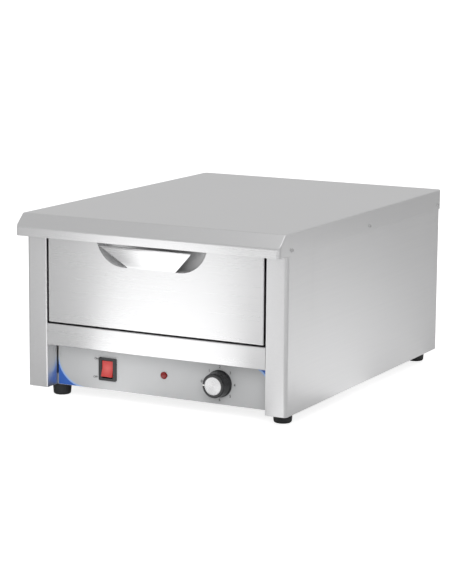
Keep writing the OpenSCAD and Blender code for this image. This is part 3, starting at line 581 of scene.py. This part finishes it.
# The rim round the notch: a paler, half-metallic copy of the drawer steel, which is painted light that makes
# the rim look brightly lit
NOTCH_STEEL = brushed_steel("notch_edge", ALONG_X, light=0.92, dark=0.86, roughness=0.50, swing=0.05,
                            metallic=0.35)
SPUN = brushed_steel("spun_cap", even(900), light=0.54, dark=0.48, roughness=0.26,
                     swing=0.05, bump=0.04, pull=0.85, around="Y")
BLACK = moulded("black_plastic", (0.012, 0.012, 0.013), (0.03, 0.03, 0.032), roughness=0.30, swing=0.1)
RUBBER = moulded("foot_rubber", (0.022, 0.023, 0.024), (0.045, 0.046, 0.048), roughness=0.62,
                 swing=0.15, scale=500.0, bump=0.25)
RED = make_rocker_plastic()
LENS = moulded("red_lens", (0.16, 0.004, 0.004), (0.24, 0.008, 0.008), roughness=0.10, swing=0.04)
PALE = moulded("pale_plastic", (0.70, 0.68, 0.60), (0.60, 0.57, 0.50), roughness=0.45, swing=0.1)
LABEL = moulded("label_film", (0.43, 0.435, 0.44), (0.46, 0.465, 0.47), roughness=0.55,
                swing=0.08, scale=2500.0, bump=0.05)
BLUE = make_accent_film()
WHITE = moulded("white_mark", (0.85, 0.85, 0.83), (0.80, 0.80, 0.78), roughness=0.45, swing=0.05)
INK = moulded("black_ink", (0.015, 0.015, 0.015), (0.03, 0.03, 0.03), roughness=0.45, swing=0.05)
WOOL = moulded("insulation_wool", (0.70, 0.64, 0.50), (0.55, 0.50, 0.38), roughness=0.9,
               swing=0.05, scale=300.0, bump=0.8)
TUBE_METAL = brushed_steel("tube_metal", even(400), light=0.5, dark=0.45, roughness=0.35, swing=0.08)
STUD_METAL = brushed_steel("stud_metal", even(400), light=0.6, dark=0.5, roughness=0.32, swing=0.08)
WIRE = moulded("wire_cover", (0.45, 0.06, 0.03), (0.40, 0.08, 0.05), roughness=0.5, swing=0.1)

NODE_FINISH = {
    COVER_STEEL: ["top_cover"],
    CASING_STEEL: ["left_side_panel", "right_side_panel", "top_rail", "control_panel", "back_panel"],
    DRAWER_STEEL: ["front_rail", "drawer_front"],
    INNER_STEEL: ["base_plate", "left_chamber_wall", "right_chamber_wall", "rear_chamber_wall",
                  "chamber_roof", "chamber_floor", "drawer_tub", "tub_ends"],
    BACKING_STEEL: ["drawer_backing"],
    ZINC: ["left_fixed_slide", "right_fixed_slide", "left_middle_slide", "right_middle_slide",
           "left_drawer_slide", "right_drawer_slide"],
    FASTENER: ["element_cradles", "slide_rivets", "tub_rivets", "drawer_front_screws", "lamp_nut",
               "thermostat_nut", "bulb_clip", "foot_screws", "foot_nuts", "cover_screws", "back_screws",
               "thermostat_shaft"],
    ELEMENT: ["heating_element"],
    SPUN: ["knob_cap"],
    BLACK: ["switch_housing", "knob", "overheat_cutout", "cable_gland", "gland_nut"],
    RUBBER: ["feet"],
    RED: ["switch_rocker"],
    LENS: ["lamp_lens"],
    PALE: ["lamp_body", "thermostat_body", "terminal_block"],
    LABEL: ["control_label"],
    BLUE: ["label_accents"],
    WHITE: ["knob_pointer"],
    WOOL: ["left_insulation", "right_insulation", "rear_insulation", "roof_insulation"],
    TUBE_METAL: ["capillary_tube", "thermostat_bulb"],
    STUD_METAL: ["earth_stud"],
    WIRE: ["wiring"],
}


def finish_cad_nodes():
    for material, names in NODE_FINISH.items():
        for name in names:
            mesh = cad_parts[name].data
            mesh.materials.clear()
            mesh.materials.append(material)


# Top cover

SLOPE_RUN = 18.5 * MM
SLOPE_DROP = 17.0 * MM
TOP_EDGE_R = 1.6 * MM
COVER_RIM_R = 0.2 * MM
FOLD_ANGLE = radians(30)
LIP_SLANT = 0.95
LIP_SLOT = 1


def make_cover():
    crease = COVER_LOW.y + SLOPE_RUN
    ob = add_block("cover_shell", COVER_LOW, COVER_HIGH)
    edit(ob)
    select_all()
    bpy.ops.mesh.bisect(plane_co=(0, crease, 0), plane_no=(0, 1, 0))
    pick(ob, "verts", lambda v: near(v.co.y, COVER_LOW.y) and near(v.co.z, COVER_HIGH.z))
    bpy.ops.transform.translate(value=(0, 0, -SLOPE_DROP))
    pick(ob, "faces", lambda f: looks(f, Z, -1))
    bpy.ops.mesh.delete(type="FACE")
    pick(ob, "edges", lambda e: stands_at(e, y=COVER_LOW.y) or stands_at(e, y=COVER_HIGH.y))
    bevel_selected(CORNER_R, steps=8)
    pick(ob, "edges", lambda e: len(e.link_faces) == 2 and e.calc_face_angle(0) > FOLD_ANGLE)
    bevel_selected(TOP_EDGE_R, steps=4)
    done()
    give_thickness(ob, SHEET)
    soften(ob, COVER_RIM_R, steps=1, angle=60)
    smooth(ob, angle=40)
    finish_piece(ob, "cabinet", COVER_STEEL, ["top_cover"])
    # The faces that look to the front take the lighter lip steel: its own brushing, and painted light on the
    # front of the cover
    ob.data.materials.append(LIP_STEEL)
    for face in ob.data.polygons:
        if face.normal.y < -LIP_SLANT:
            face.material_index = LIP_SLOT


# Side panels

RETURN_DEPTH = 28.0 * MM
REAR_FLANGE = 16.0 * MM
POST_EDGE_R = 1.8 * MM
CASING_RIM_R = 0.15 * MM


def make_side_panel(side):
    """side is 1 for the right panel and -1 for the left one."""
    name = "right_side_panel" if side > 0 else "left_side_panel"
    x_in = side * INNER_HALF
    x_out = side * HALF_W
    low = Vector((min(x_in, x_out), PANEL_LOW.y, PANEL_LOW.z))
    high = Vector((max(x_in, x_out), PANEL_HIGH.y, PANEL_HIGH.z))
    ob = add_block(name + "_sheet", low, high)
    edit(ob)
    pick(ob, "faces", lambda f: looks(f, Z) or looks(f, X, -side))
    bpy.ops.mesh.delete(type="FACE")
    pick(ob, "edges", lambda e: stands_at(e, x_in, PANEL_LOW.y))
    extrude((0, RETURN_DEPTH, 0))
    pick(ob, "verts", lambda v: near(v.co.x, x_in) and near(v.co.y, PANEL_HIGH.y))
    bpy.ops.transform.translate(value=(x_out - side * REAR_FLANGE - x_in, 0, 0))
    turn_outward()
    pick(ob, "edges", lambda e: stands_at(e, x_out))
    bevel_selected(CORNER_R, steps=10)
    pick(ob, "edges", lambda e: stands_at(e, x_in, PANEL_LOW.y))
    bevel_selected(POST_EDGE_R, steps=5)
    turn_widest(ob, (side, 0, 0))
    done()
    give_thickness(ob, SHEET)
    soften(ob, CASING_RIM_R, steps=1, angle=60)
    smooth(ob)
    finish_piece(ob, "cabinet", CASING_STEEL, [name])


# Front rail

RAIL_EDGE_R = 1.4 * MM
RAIL_LOWER_FLANGE = 26.5 * MM


def make_rail():
    ob = add_block("front_rail_sheet", RAIL_LOW, RAIL_HIGH)
    edit(ob)
    pick(ob, "faces", lambda f: looks(f, X) or looks(f, Y, 1))
    bpy.ops.mesh.delete(type="FACE")
    pick(ob, "verts", lambda v: near(v.co.y, RAIL_HIGH.y) and near(v.co.z, RAIL_LOW.z))
    bpy.ops.transform.translate(value=(0, RAIL_LOW.y + RAIL_LOWER_FLANGE - RAIL_HIGH.y, 0))
    pick(ob, "edges", lambda e: runs_along(e, X) and near(middle_of(e).y, RAIL_LOW.y))
    bevel_selected(RAIL_EDGE_R, steps=5)
    done()
    give_thickness(ob, SHEET)
    soften(ob, CASING_RIM_R, steps=1, angle=60)
    smooth(ob)
    finish_piece(ob, "cabinet", DRAWER_STEEL, ["front_rail"])


# Drawer front with its notch and tongue

FRONT_T = 1.2 * MM
FRONT_EDGE_R = 1.6 * MM
FRONT_RIM_R = 0.25 * MM
FRONT_TRAY = 18.0 * MM
FRONT_FACE = BACKING_LOW.y - FRONT_TRAY
NOTCH_X = -3.0 * MM
NOTCH_H = 34.3 * MM
NOTCH_HALF = 85.5 * MM
NOTCH_R = 42.0 * MM
NOTCH_STEPS = 24
NOTCH_FOLD = BACKING_HIGH.z - NOTCH_H
NOTCH_WALL_GAP = 0.05 * MM
NOTCH_WALL_DROP = 0.4 * MM
TONGUE_ROOT = 37.0 * MM
TONGUE_TOP = 71.0 * MM
TONGUE_LEN = 31.0 * MM
TONGUE_LEAN = 30
TONGUE_RISE = 30.4 * MM
TONGUE_FOOT = 4.0 * MM
TONGUE_FOOT_STEP = 0.02 * MM
TONGUE_CORNER = 1.2 * MM
TONGUE_RIM_R = 0.3 * MM
HEM_LEN = 5.0 * MM
HEM_LEAN = 62
BEND_LEN = 3.0 * MM
BEND_STEPS = 5
PLANE_HALF = 0.5


def tongue_half(height):
    """Half of the tongue's width at a height above its fold."""
    return TONGUE_ROOT + (TONGUE_TOP - TONGUE_ROOT) * min(1, height / TONGUE_RISE)


def tongue_rows():
    """Pairs of (half width, point in Y and Z) from the fold up to the hem's edge, on the outer face."""
    point = Vector((FRONT_FACE, NOTCH_FOLD))
    foot = Vector((FRONT_FACE + TONGUE_FOOT_STEP, NOTCH_FOLD - TONGUE_FOOT))
    rows = [(TONGUE_ROOT, foot), (TONGUE_ROOT, point.copy())]
    before = 0
    for lean, length in ((TONGUE_LEAN, TONGUE_LEN), (HEM_LEAN, HEM_LEN)):
        for i in range(1, BEND_STEPS + 1):
            angle = radians(before + (lean - before) * i / BEND_STEPS)
            point = point + Vector((-sin(angle), cos(angle))) * BEND_LEN / BEND_STEPS
            rows.append((tongue_half(point.y - NOTCH_FOLD), point.copy()))
        point = point + Vector((-sin(radians(lean)), cos(radians(lean)))) * (length - BEND_LEN)
        rows.append((tongue_half(point.y - NOTCH_FOLD), point.copy()))
        before = lean
    return rows


def make_tongue():
    """A plane is drawn in to the tongue's foot, then its upper edge is extruded from row to row."""
    rows = tongue_rows()
    half, foot = rows[0]
    point = rows[1][1]
    place = (NOTCH_X, foot.x, foot.y)
    deselect_all()
    bpy.ops.mesh.primitive_plane_add(size=2 * PLANE_HALF, location=place, rotation=(RIGHT_ANGLE, 0, 0))
    ob = new_piece("tongue_sheet")
    edit(ob)
    pick(ob, "verts", lambda v: v.co.z > foot.y)
    bpy.ops.transform.translate(value=(0, 0, point.y - foot.y - PLANE_HALF))
    pick(ob, "verts", lambda v: v.co.z < foot.y - TONGUE_FOOT)
    bpy.ops.transform.translate(value=(0, 0, PLANE_HALF))
    select_all()
    bpy.ops.transform.resize(value=(half / PLANE_HALF, 1, 1), center_override=place)
    pick(ob, "edges", lambda e: runs_along(e, X) and near(middle_of(e).z, point.y))
    for next_half, next_point in rows[2:]:
        move = next_point - point
        extrude((0, move.x, move.y))
        bpy.ops.transform.resize(value=(next_half / half, 1, 1),
                                 center_override=(NOTCH_X, next_point.x, next_point.y))
        half, point = next_half, next_point
    pick(ob, "verts", lambda v: near(v.co.z, point.y) and near(abs(v.co.x - NOTCH_X), half))
    bevel_selected(TONGUE_CORNER, steps=4, kind="VERTICES")
    turn_outward()
    turn_widest(ob, (0, -1, 0))
    done()
    give_thickness(ob, FRONT_T)
    soften(ob, TONGUE_RIM_R, angle=50)
    return ob


def notch_block(name, front, back):
    """A block with the notch's outline: two quarter arcs, and the fold between them."""
    ob = add_block(name, (NOTCH_X - NOTCH_HALF, front, NOTCH_FOLD),
                   (NOTCH_X + NOTCH_HALF, back, NOTCH_FOLD + 2 * NOTCH_R))
    edit(ob)
    pick(ob, "edges", lambda e: runs_along(e, Y) and near(middle_of(e).z, NOTCH_FOLD))
    bevel_selected(NOTCH_R, NOTCH_STEPS)
    done()
    return ob


def make_notch_wall():
    """The rim that runs round the notch from the front sheet back to the backing sheet."""
    ob = notch_block("notch_wall", FRONT_FACE + FRONT_T / 2, BACKING_LOW.y - NOTCH_WALL_GAP)
    edit(ob)
    pick(ob, "faces", lambda f: looks(f, Y) or looks(f, Z, 1))
    bpy.ops.mesh.delete(type="FACE")
    select_all()
    bpy.ops.mesh.bisect(plane_co=(0, 0, BACKING_HIGH.z - NOTCH_WALL_DROP), plane_no=(0, 0, 1),
                        clear_outer=True)
    done()
    apply_modifier(ob, "SOLIDIFY", thickness=FRONT_T, offset=1, use_even_offset=True)
    smooth(ob)
    # Its pale notch steel is painted light that brightens the rim
    finish_piece(ob, "drawer", NOTCH_STEEL)


def make_drawer_front():
    low = Vector((BACKING_LOW.x, FRONT_FACE, BACKING_LOW.z))
    high = Vector((BACKING_HIGH.x, BACKING_LOW.y, BACKING_HIGH.z))
    tray = add_block("drawer_front_sheet", low, high)
    edit(tray)
    pick(tray, "faces", lambda f: looks(f, Y, 1))
    bpy.ops.mesh.delete(type="FACE")
    pick(tray, "edges", lambda e: len(e.link_faces) == 2)
    bevel_selected(FRONT_EDGE_R, steps=5)
    done()
    give_thickness(tray, FRONT_T)
    cut_with(tray, notch_block("notch_cutter", FRONT_FACE - CUT_PAST, high.y + CUT_PAST))
    soften(tray, FRONT_RIM_R, angle=60)
    ob = join_pieces("drawer_front_sheet", [tray, make_tongue()])
    smooth(ob)
    finish_piece(ob, "drawer", DRAWER_STEEL, ["drawer_front"])


# Rocker switch

BEZEL_DEPTH = 2.5 * MM
BEZEL_CORNER_R = 1.6 * MM
BEZEL_EDGE_R = 0.7 * MM
OPENING_HALF = 8.8 * MM
OPENING_HALF_H = 12.4 * MM
BODY_HALF = 11.0 * MM
BODY_HALF_H = 14.0 * MM
BODY_LAP = 0.1 * MM
BODY_EDGE_R = 0.3 * MM
ROCKER_HALF = 8.5 * MM
ROCKER_HALF_H = 11.0 * MM
ROCKER_CROWN = 4.0 * MM
ROCKER_CROWN_R = 2.2 * MM
ROCKER_EDGE_R = 0.5 * MM
ROCKER_TAIL = 4.0 * MM
ROCKER_TAIL_HALF_H = 8.0 * MM
ROCKER_ROOM = 8.0 * MM
ROCKER_TILT = 10
PIVOT_DEPTH = 4.8 * MM
PIVOT_Y = HOUSING_LOW.y + PIVOT_DEPTH
PIVOT_R = 1.5 * MM
PIVOT_STEPS = 24
PIN_OUT = 1.5 * MM


def rocker_window(front, back):
    return add_block("rocker_window", (SWITCH_X - OPENING_HALF, front, SWITCH_Z - OPENING_HALF_H),
                     (SWITCH_X + OPENING_HALF, back, SWITCH_Z + OPENING_HALF_H))


def make_rocker_bezel():
    front = HOUSING_LOW.y
    back = front + BEZEL_DEPTH
    bezel = add_block("switch_bezel", HOUSING_LOW, (HOUSING_HIGH.x, back, HOUSING_HIGH.z))
    edit(bezel)
    pick(bezel, "edges", lambda e: runs_along(e, Y))
    bevel_selected(BEZEL_CORNER_R, steps=4)
    done()
    cut_with(bezel, rocker_window(front - CUT_PAST, back + CUT_PAST))
    edit(bezel)
    pick(bezel, "edges", lambda e: near(e.verts[0].co.y, front) and near(e.verts[1].co.y, front))
    bevel_selected(BEZEL_EDGE_R, steps=3)
    done()
    body = add_block("switch_body", (SWITCH_X - BODY_HALF, back - BODY_LAP, SWITCH_Z - BODY_HALF_H),
                     (SWITCH_X + BODY_HALF, HOUSING_HIGH.y, SWITCH_Z + BODY_HALF_H))
    cut_with(body, rocker_window(front - CUT_PAST, PIVOT_Y + ROCKER_ROOM))
    soften(body, BODY_EDGE_R, angle=40)
    ob = join_pieces("switch_bezel", [bezel, body])
    smooth(ob)
    finish_piece(ob, "cabinet", BLACK, ["switch_housing"])


def make_pivot_pin():
    start = (SWITCH_X - ROCKER_HALF - PIN_OUT, PIVOT_Y, SWITCH_Z)
    pin = add_ring("rocker_pin", start, PIVOT_R, PIVOT_STEPS, X)
    edit(pin)
    select_all()
    bpy.ops.mesh.edge_face_add()
    extrude((2 * (ROCKER_HALF + PIN_OUT), 0, 0))
    turn_outward()
    done()
    return pin


def make_rocker():
    """Drawn level with its crown in the middle, then tilted about its pivot into the ON place."""
    crown = PIVOT_Y - ROCKER_CROWN
    tip = crown - ROCKER_HALF_H * tan(radians(ROCKER_TILT))
    button = add_block("rocker_button", (SWITCH_X - ROCKER_HALF, tip, SWITCH_Z - ROCKER_HALF_H),
                       (SWITCH_X + ROCKER_HALF, PIVOT_Y, SWITCH_Z + ROCKER_HALF_H))
    edit(button)
    select_all()
    bpy.ops.mesh.bisect(plane_co=(0, 0, SWITCH_Z), plane_no=(0, 0, 1))
    pick(button, "verts", lambda v: near(v.co.z, SWITCH_Z) and near(v.co.y, tip))
    bpy.ops.transform.translate(value=(0, crown - tip, 0))
    pick(button, "faces", lambda f: looks(f, Y, 1))
    extrude((0, ROCKER_TAIL, 0))
    bpy.ops.transform.resize(value=(1, 1, ROCKER_TAIL_HALF_H / ROCKER_HALF_H),
                             center_override=(SWITCH_X, PIVOT_Y + ROCKER_TAIL, SWITCH_Z))
    pick(button, "edges", lambda e: near(middle_of(e).y, crown) and runs_along(e, X))
    bevel_selected(ROCKER_CROWN_R, steps=6)
    done()
    soften(button, ROCKER_EDGE_R, steps=3, angle=40)
    ob = join_pieces("rocker_button", [button, make_pivot_pin()])
    pivot = Vector((SWITCH_X, PIVOT_Y, SWITCH_Z))
    tilt = Matrix.Rotation(radians(-ROCKER_TILT), 4, "X")
    ob.matrix_world = Matrix.Translation(pivot) @ tilt @ Matrix.Translation(-pivot)
    only(ob)
    bpy.ops.object.transform_apply(location=True, rotation=True, scale=True)
    smooth(ob)
    finish_piece(ob, "power_rocker", RED, ["switch_rocker"])


# Indicator lamp, its profile as pairs of radius and distance from the label in millimetres

LENS_PROFILE = [(5.2, 0), (5.2, 1.2), (4.7, 2.0), (3.4, 2.9), (1.5, 3.35)]
LENS_FACETS = 10
LENS_EDGE_R = 0.15 * MM


def make_lens():
    ob = revolve("lamp_dome", (LAMP_X, LABEL_FACE, LAMP_Z), LENS_PROFILE, LENS_FACETS)
    soften(ob, LENS_EDGE_R, angle=10)
    finish_piece(ob, "cabinet", LENS, ["lamp_lens"])


# Knob, its profiles in the lamp's way

KNOB_PROFILE = [(18.4, 0.4), (18.7, 0.7), (18.7, 2.2), (18.55, 2.6), (17.8, 3.6), (17.45, 4.2), (17.3, 4.8),
                (16.55, 17.6), (16.3, 18.5), (15.9, 19.1), (15.3, 19.5), (12.9, 19.5), (12.65, 19.3),
                (12.6, 18.4)]
CAP_PROFILE = [(12.55, 18.4), (12.55, 19.5), (12.3, 19.8), (11.9, 19.95), (11.4, 19.9), (10.9, 19.8),
               (0.4, 19.75)]
KNOB_STEPS = 128
CAP_STEPS = 96
SLOT_HALF = 0.85 * MM
SLOT_INNER = 12.8 * MM
SLOT_OUTER = 17.0 * MM
SLOT_FLOOR = 18.3 * MM
SLOT_CUT_TOP = 22.0 * MM


def make_knob():
    ob = revolve("knob_body", (KNOB_X, LABEL_FACE, KNOB_Z), KNOB_PROFILE, KNOB_STEPS)
    slot = add_block("pointer_cutter", (KNOB_X - SLOT_OUTER, LABEL_FACE - SLOT_CUT_TOP, KNOB_Z - SLOT_HALF),
                     (KNOB_X - SLOT_INNER, LABEL_FACE - SLOT_FLOOR, KNOB_Z + SLOT_HALF))
    cut_with(ob, slot)
    smooth(ob, angle=40)
    finish_piece(ob, "thermostat_knob", BLACK, ["knob"])


def make_cap():
    ob = revolve("knob_cap_disc", (KNOB_X, LABEL_FACE, KNOB_Z), CAP_PROFILE, CAP_STEPS)
    smooth(ob, angle=40)
    finish_piece(ob, "thermostat_knob", SPUN, ["knob_cap"])


# Lettering that any such switch and dial has

INK_LIFT = 0.06 * MM
INK_DEPTH = 0.05 * MM
BOLDNESS = 0.10 * MM
WORD_SIZE = 3.9 * MM
NUMBER_SIZE = 5.2 * MM
ON_PLACE = (-18.6 * MM, 13.2 * MM)
OFF_PLACE = (-20.2 * MM, -12.7 * MM)
DIAL_R = 22.6 * MM
ZERO_R = 27.5 * MM
DIAL_NUMBERS = 7
DIAL_START = 180
DIAL_STEP = 45


def add_letters(name, text, size, x, z):
    deselect_all()
    bpy.ops.object.text_add(location=(x, LABEL_FACE - INK_LIFT, z), rotation=(RIGHT_ANGLE, 0, 0))
    letters = bpy.context.object.data
    letters.body = text
    letters.size = size
    letters.align_x = "CENTER"
    letters.align_y = "CENTER"
    letters.extrude = INK_DEPTH
    letters.offset = BOLDNESS
    bpy.ops.object.convert(target="MESH")
    finish_piece(new_piece(name), "cabinet", INK)


def make_lettering():
    add_letters("on_word", "ON", WORD_SIZE, SWITCH_X + ON_PLACE[0], SWITCH_Z + ON_PLACE[1])
    add_letters("off_word", "OFF", WORD_SIZE, SWITCH_X + OFF_PLACE[0], SWITCH_Z + OFF_PLACE[1])
    for i in range(DIAL_NUMBERS):
        angle = radians(DIAL_START - DIAL_STEP * i)
        reach = DIAL_R if i else ZERO_R
        add_letters("dial_mark_" + str(i), str(i), NUMBER_SIZE,
                    KNOB_X + reach * cos(angle), KNOB_Z + reach * sin(angle))


# Studio

FLOOR_SIZE = 80
FLOOR_GAP = 0.2 * MM
FLOOR_GREY = 0.66
FLOOR_WORN = 0.68
FLOOR_GLOW = 0.80
FRONT_GREY = 0.62
BACK_GREY = 0.63
TOP_GREY = 0.58
FRONT_TO_BACK = (-0.6, 0.3)
SIDE_TO_TOP = (0.3, 0.8)
STRIP_HEIGHT = 3.0 * MM
CARD_POWER = 4

# Strips of light on the floor: start, heading in degrees, length, width, radiance

FLOOR_STRIPS = {
    "front_strip": ((0.005, -0.27), 240.5, 1.9, 0.22, 0.9),
    "front_strip_far": ((-0.39, -0.97), 240.5, 1.2, 0.34, 0.4),
    "side_strip": ((0.27, -0.08), 65, 1.3, 0.20, 0.34),
    "side_strip_wide": ((0.28, -0.04), 66, 1.3, 0.36, 0.16),
    "post_strip": ((0.20, -0.28), 243.6, 1.8, 0.07, 0.5),
}


def make_floor():
    """Pale grey paper for light and mirrors, which the camera sees as white."""
    deselect_all()
    bpy.ops.mesh.primitive_plane_add(size=FLOOR_SIZE, location=(0, 0, CAD_BOX[0][2] - FLOOR_GAP))
    floor = new_piece("studio_floor")
    material, tree, shader, place = new_material("floor_paper")
    node = use_group(tree, MOULDED, place, Scale=60.0, Base=grey(FLOOR_GREY), Worn=grey(FLOOR_WORN),
                     Roughness=0.85, Roughness_Swing=0.04)
    link_surface(tree, shader, node, strength=0.02, depth=SKIN_DEPTH)
    seen = node_in(tree, "ShaderNodeLightPath")
    glow = math_node(tree, "MULTIPLY", seen.outputs["Is Camera Ray"], FLOOR_GLOW)
    tree.links.new(glow, shader.inputs["Emission Strength"])
    shader.inputs["Emission Color"].default_value = grey(1)
    floor.data.materials.append(material)


def smooth_step(tree, value, ends):
    node = node_in(tree, "ShaderNodeMapRange", interpolation_type="SMOOTHSTEP")
    node.inputs["From Min"].default_value, node.inputs["From Max"].default_value = ends
    tree.links.new(value, node.inputs["Value"])
    return node


def value_mix(tree, factor, value, constant):
    mix = node_in(tree, "ShaderNodeMix", data_type="FLOAT")
    tree.links.new(factor, mix.inputs["Factor"])
    tree.links.new(value, mix.inputs["A"])
    mix.inputs["B"].default_value = constant
    return mix.outputs["Result"]


def make_world():
    """White behind the cabinet, and a soft grey studio for what its steel mirrors."""
    world = bpy.data.worlds.new("studio_world")
    bpy.context.scene.world = world
    world.use_nodes = True
    tree = world.node_tree
    place = node_in(tree, "ShaderNodeTexCoord")
    split = node_in(tree, "ShaderNodeSeparateXYZ")
    tree.links.new(place.outputs["Generated"], split.inputs[0])
    along = smooth_step(tree, split.outputs["Y"], FRONT_TO_BACK)
    along.inputs["To Min"].default_value = FRONT_GREY
    along.inputs["To Max"].default_value = BACK_GREY
    above = smooth_step(tree, split.outputs["Z"], SIDE_TO_TOP)
    level = value_mix(tree, above.outputs["Result"], along.outputs["Result"], TOP_GREY)
    seen = node_in(tree, "ShaderNodeLightPath")
    shown = value_mix(tree, seen.outputs["Is Camera Ray"], level, 1.0)
    tree.links.new(shown, tree.nodes["Background"].inputs["Color"])


def add_card(name, place, target, size, radiance, mirrored=True):
    """A soft light that adds about this radiance where the steel mirrors it."""
    data = bpy.data.lights.new(name, "AREA")
    data.shape = "RECTANGLE"
    data.size, data.size_y = size
    data.energy = radiance * CARD_POWER * size[0] * size[1]
    light = bpy.data.objects.new(name, data)
    light.location = place
    light.rotation_euler = (Vector(target) - Vector(place)).to_track_quat("-Z", "Y").to_euler()
    light.visible_camera = False
    light.visible_glossy = mirrored
    bpy.context.scene.collection.objects.link(light)
    return light


def add_floor_strip(name, start, heading, length, width, radiance):
    """A pale strip that lies on the floor, faces up and runs from the start along the heading."""
    angle = radians(heading)
    ahead = Vector((cos(angle), sin(angle), 0))
    middle = Vector((*start, CAD_BOX[0][2] + STRIP_HEIGHT)) + ahead * length / 2
    light = add_card(name, middle, middle + Vector((0, 0, 1)), (length, width), radiance)
    light.rotation_euler = (pi, 0, angle)


def make_studio():
    make_floor()
    make_world()
    for name, values in FLOOR_STRIPS.items():
        add_floor_strip(name, *values)
    add_card("front_fill", place=(1.2, -2.6, 1.5), target=(0, 0, 0.12), size=(2.0, 2.0), radiance=3.0,
             mirrored=False)
    add_card("top_card", place=(0.2, -0.4, 2.4), target=(0, 0, 0.15), size=(1.6, 1.6), radiance=0.6)
    bpy.context.scene.view_settings.view_transform = "Standard"


make_camera()
finish_cad_nodes()
make_cover()
make_side_panel(1)
make_side_panel(-1)
make_rail()
make_drawer_front()
make_notch_wall()
make_rocker_bezel()
make_rocker()
make_lens()
make_knob()
make_cap()
make_lettering()
make_studio()
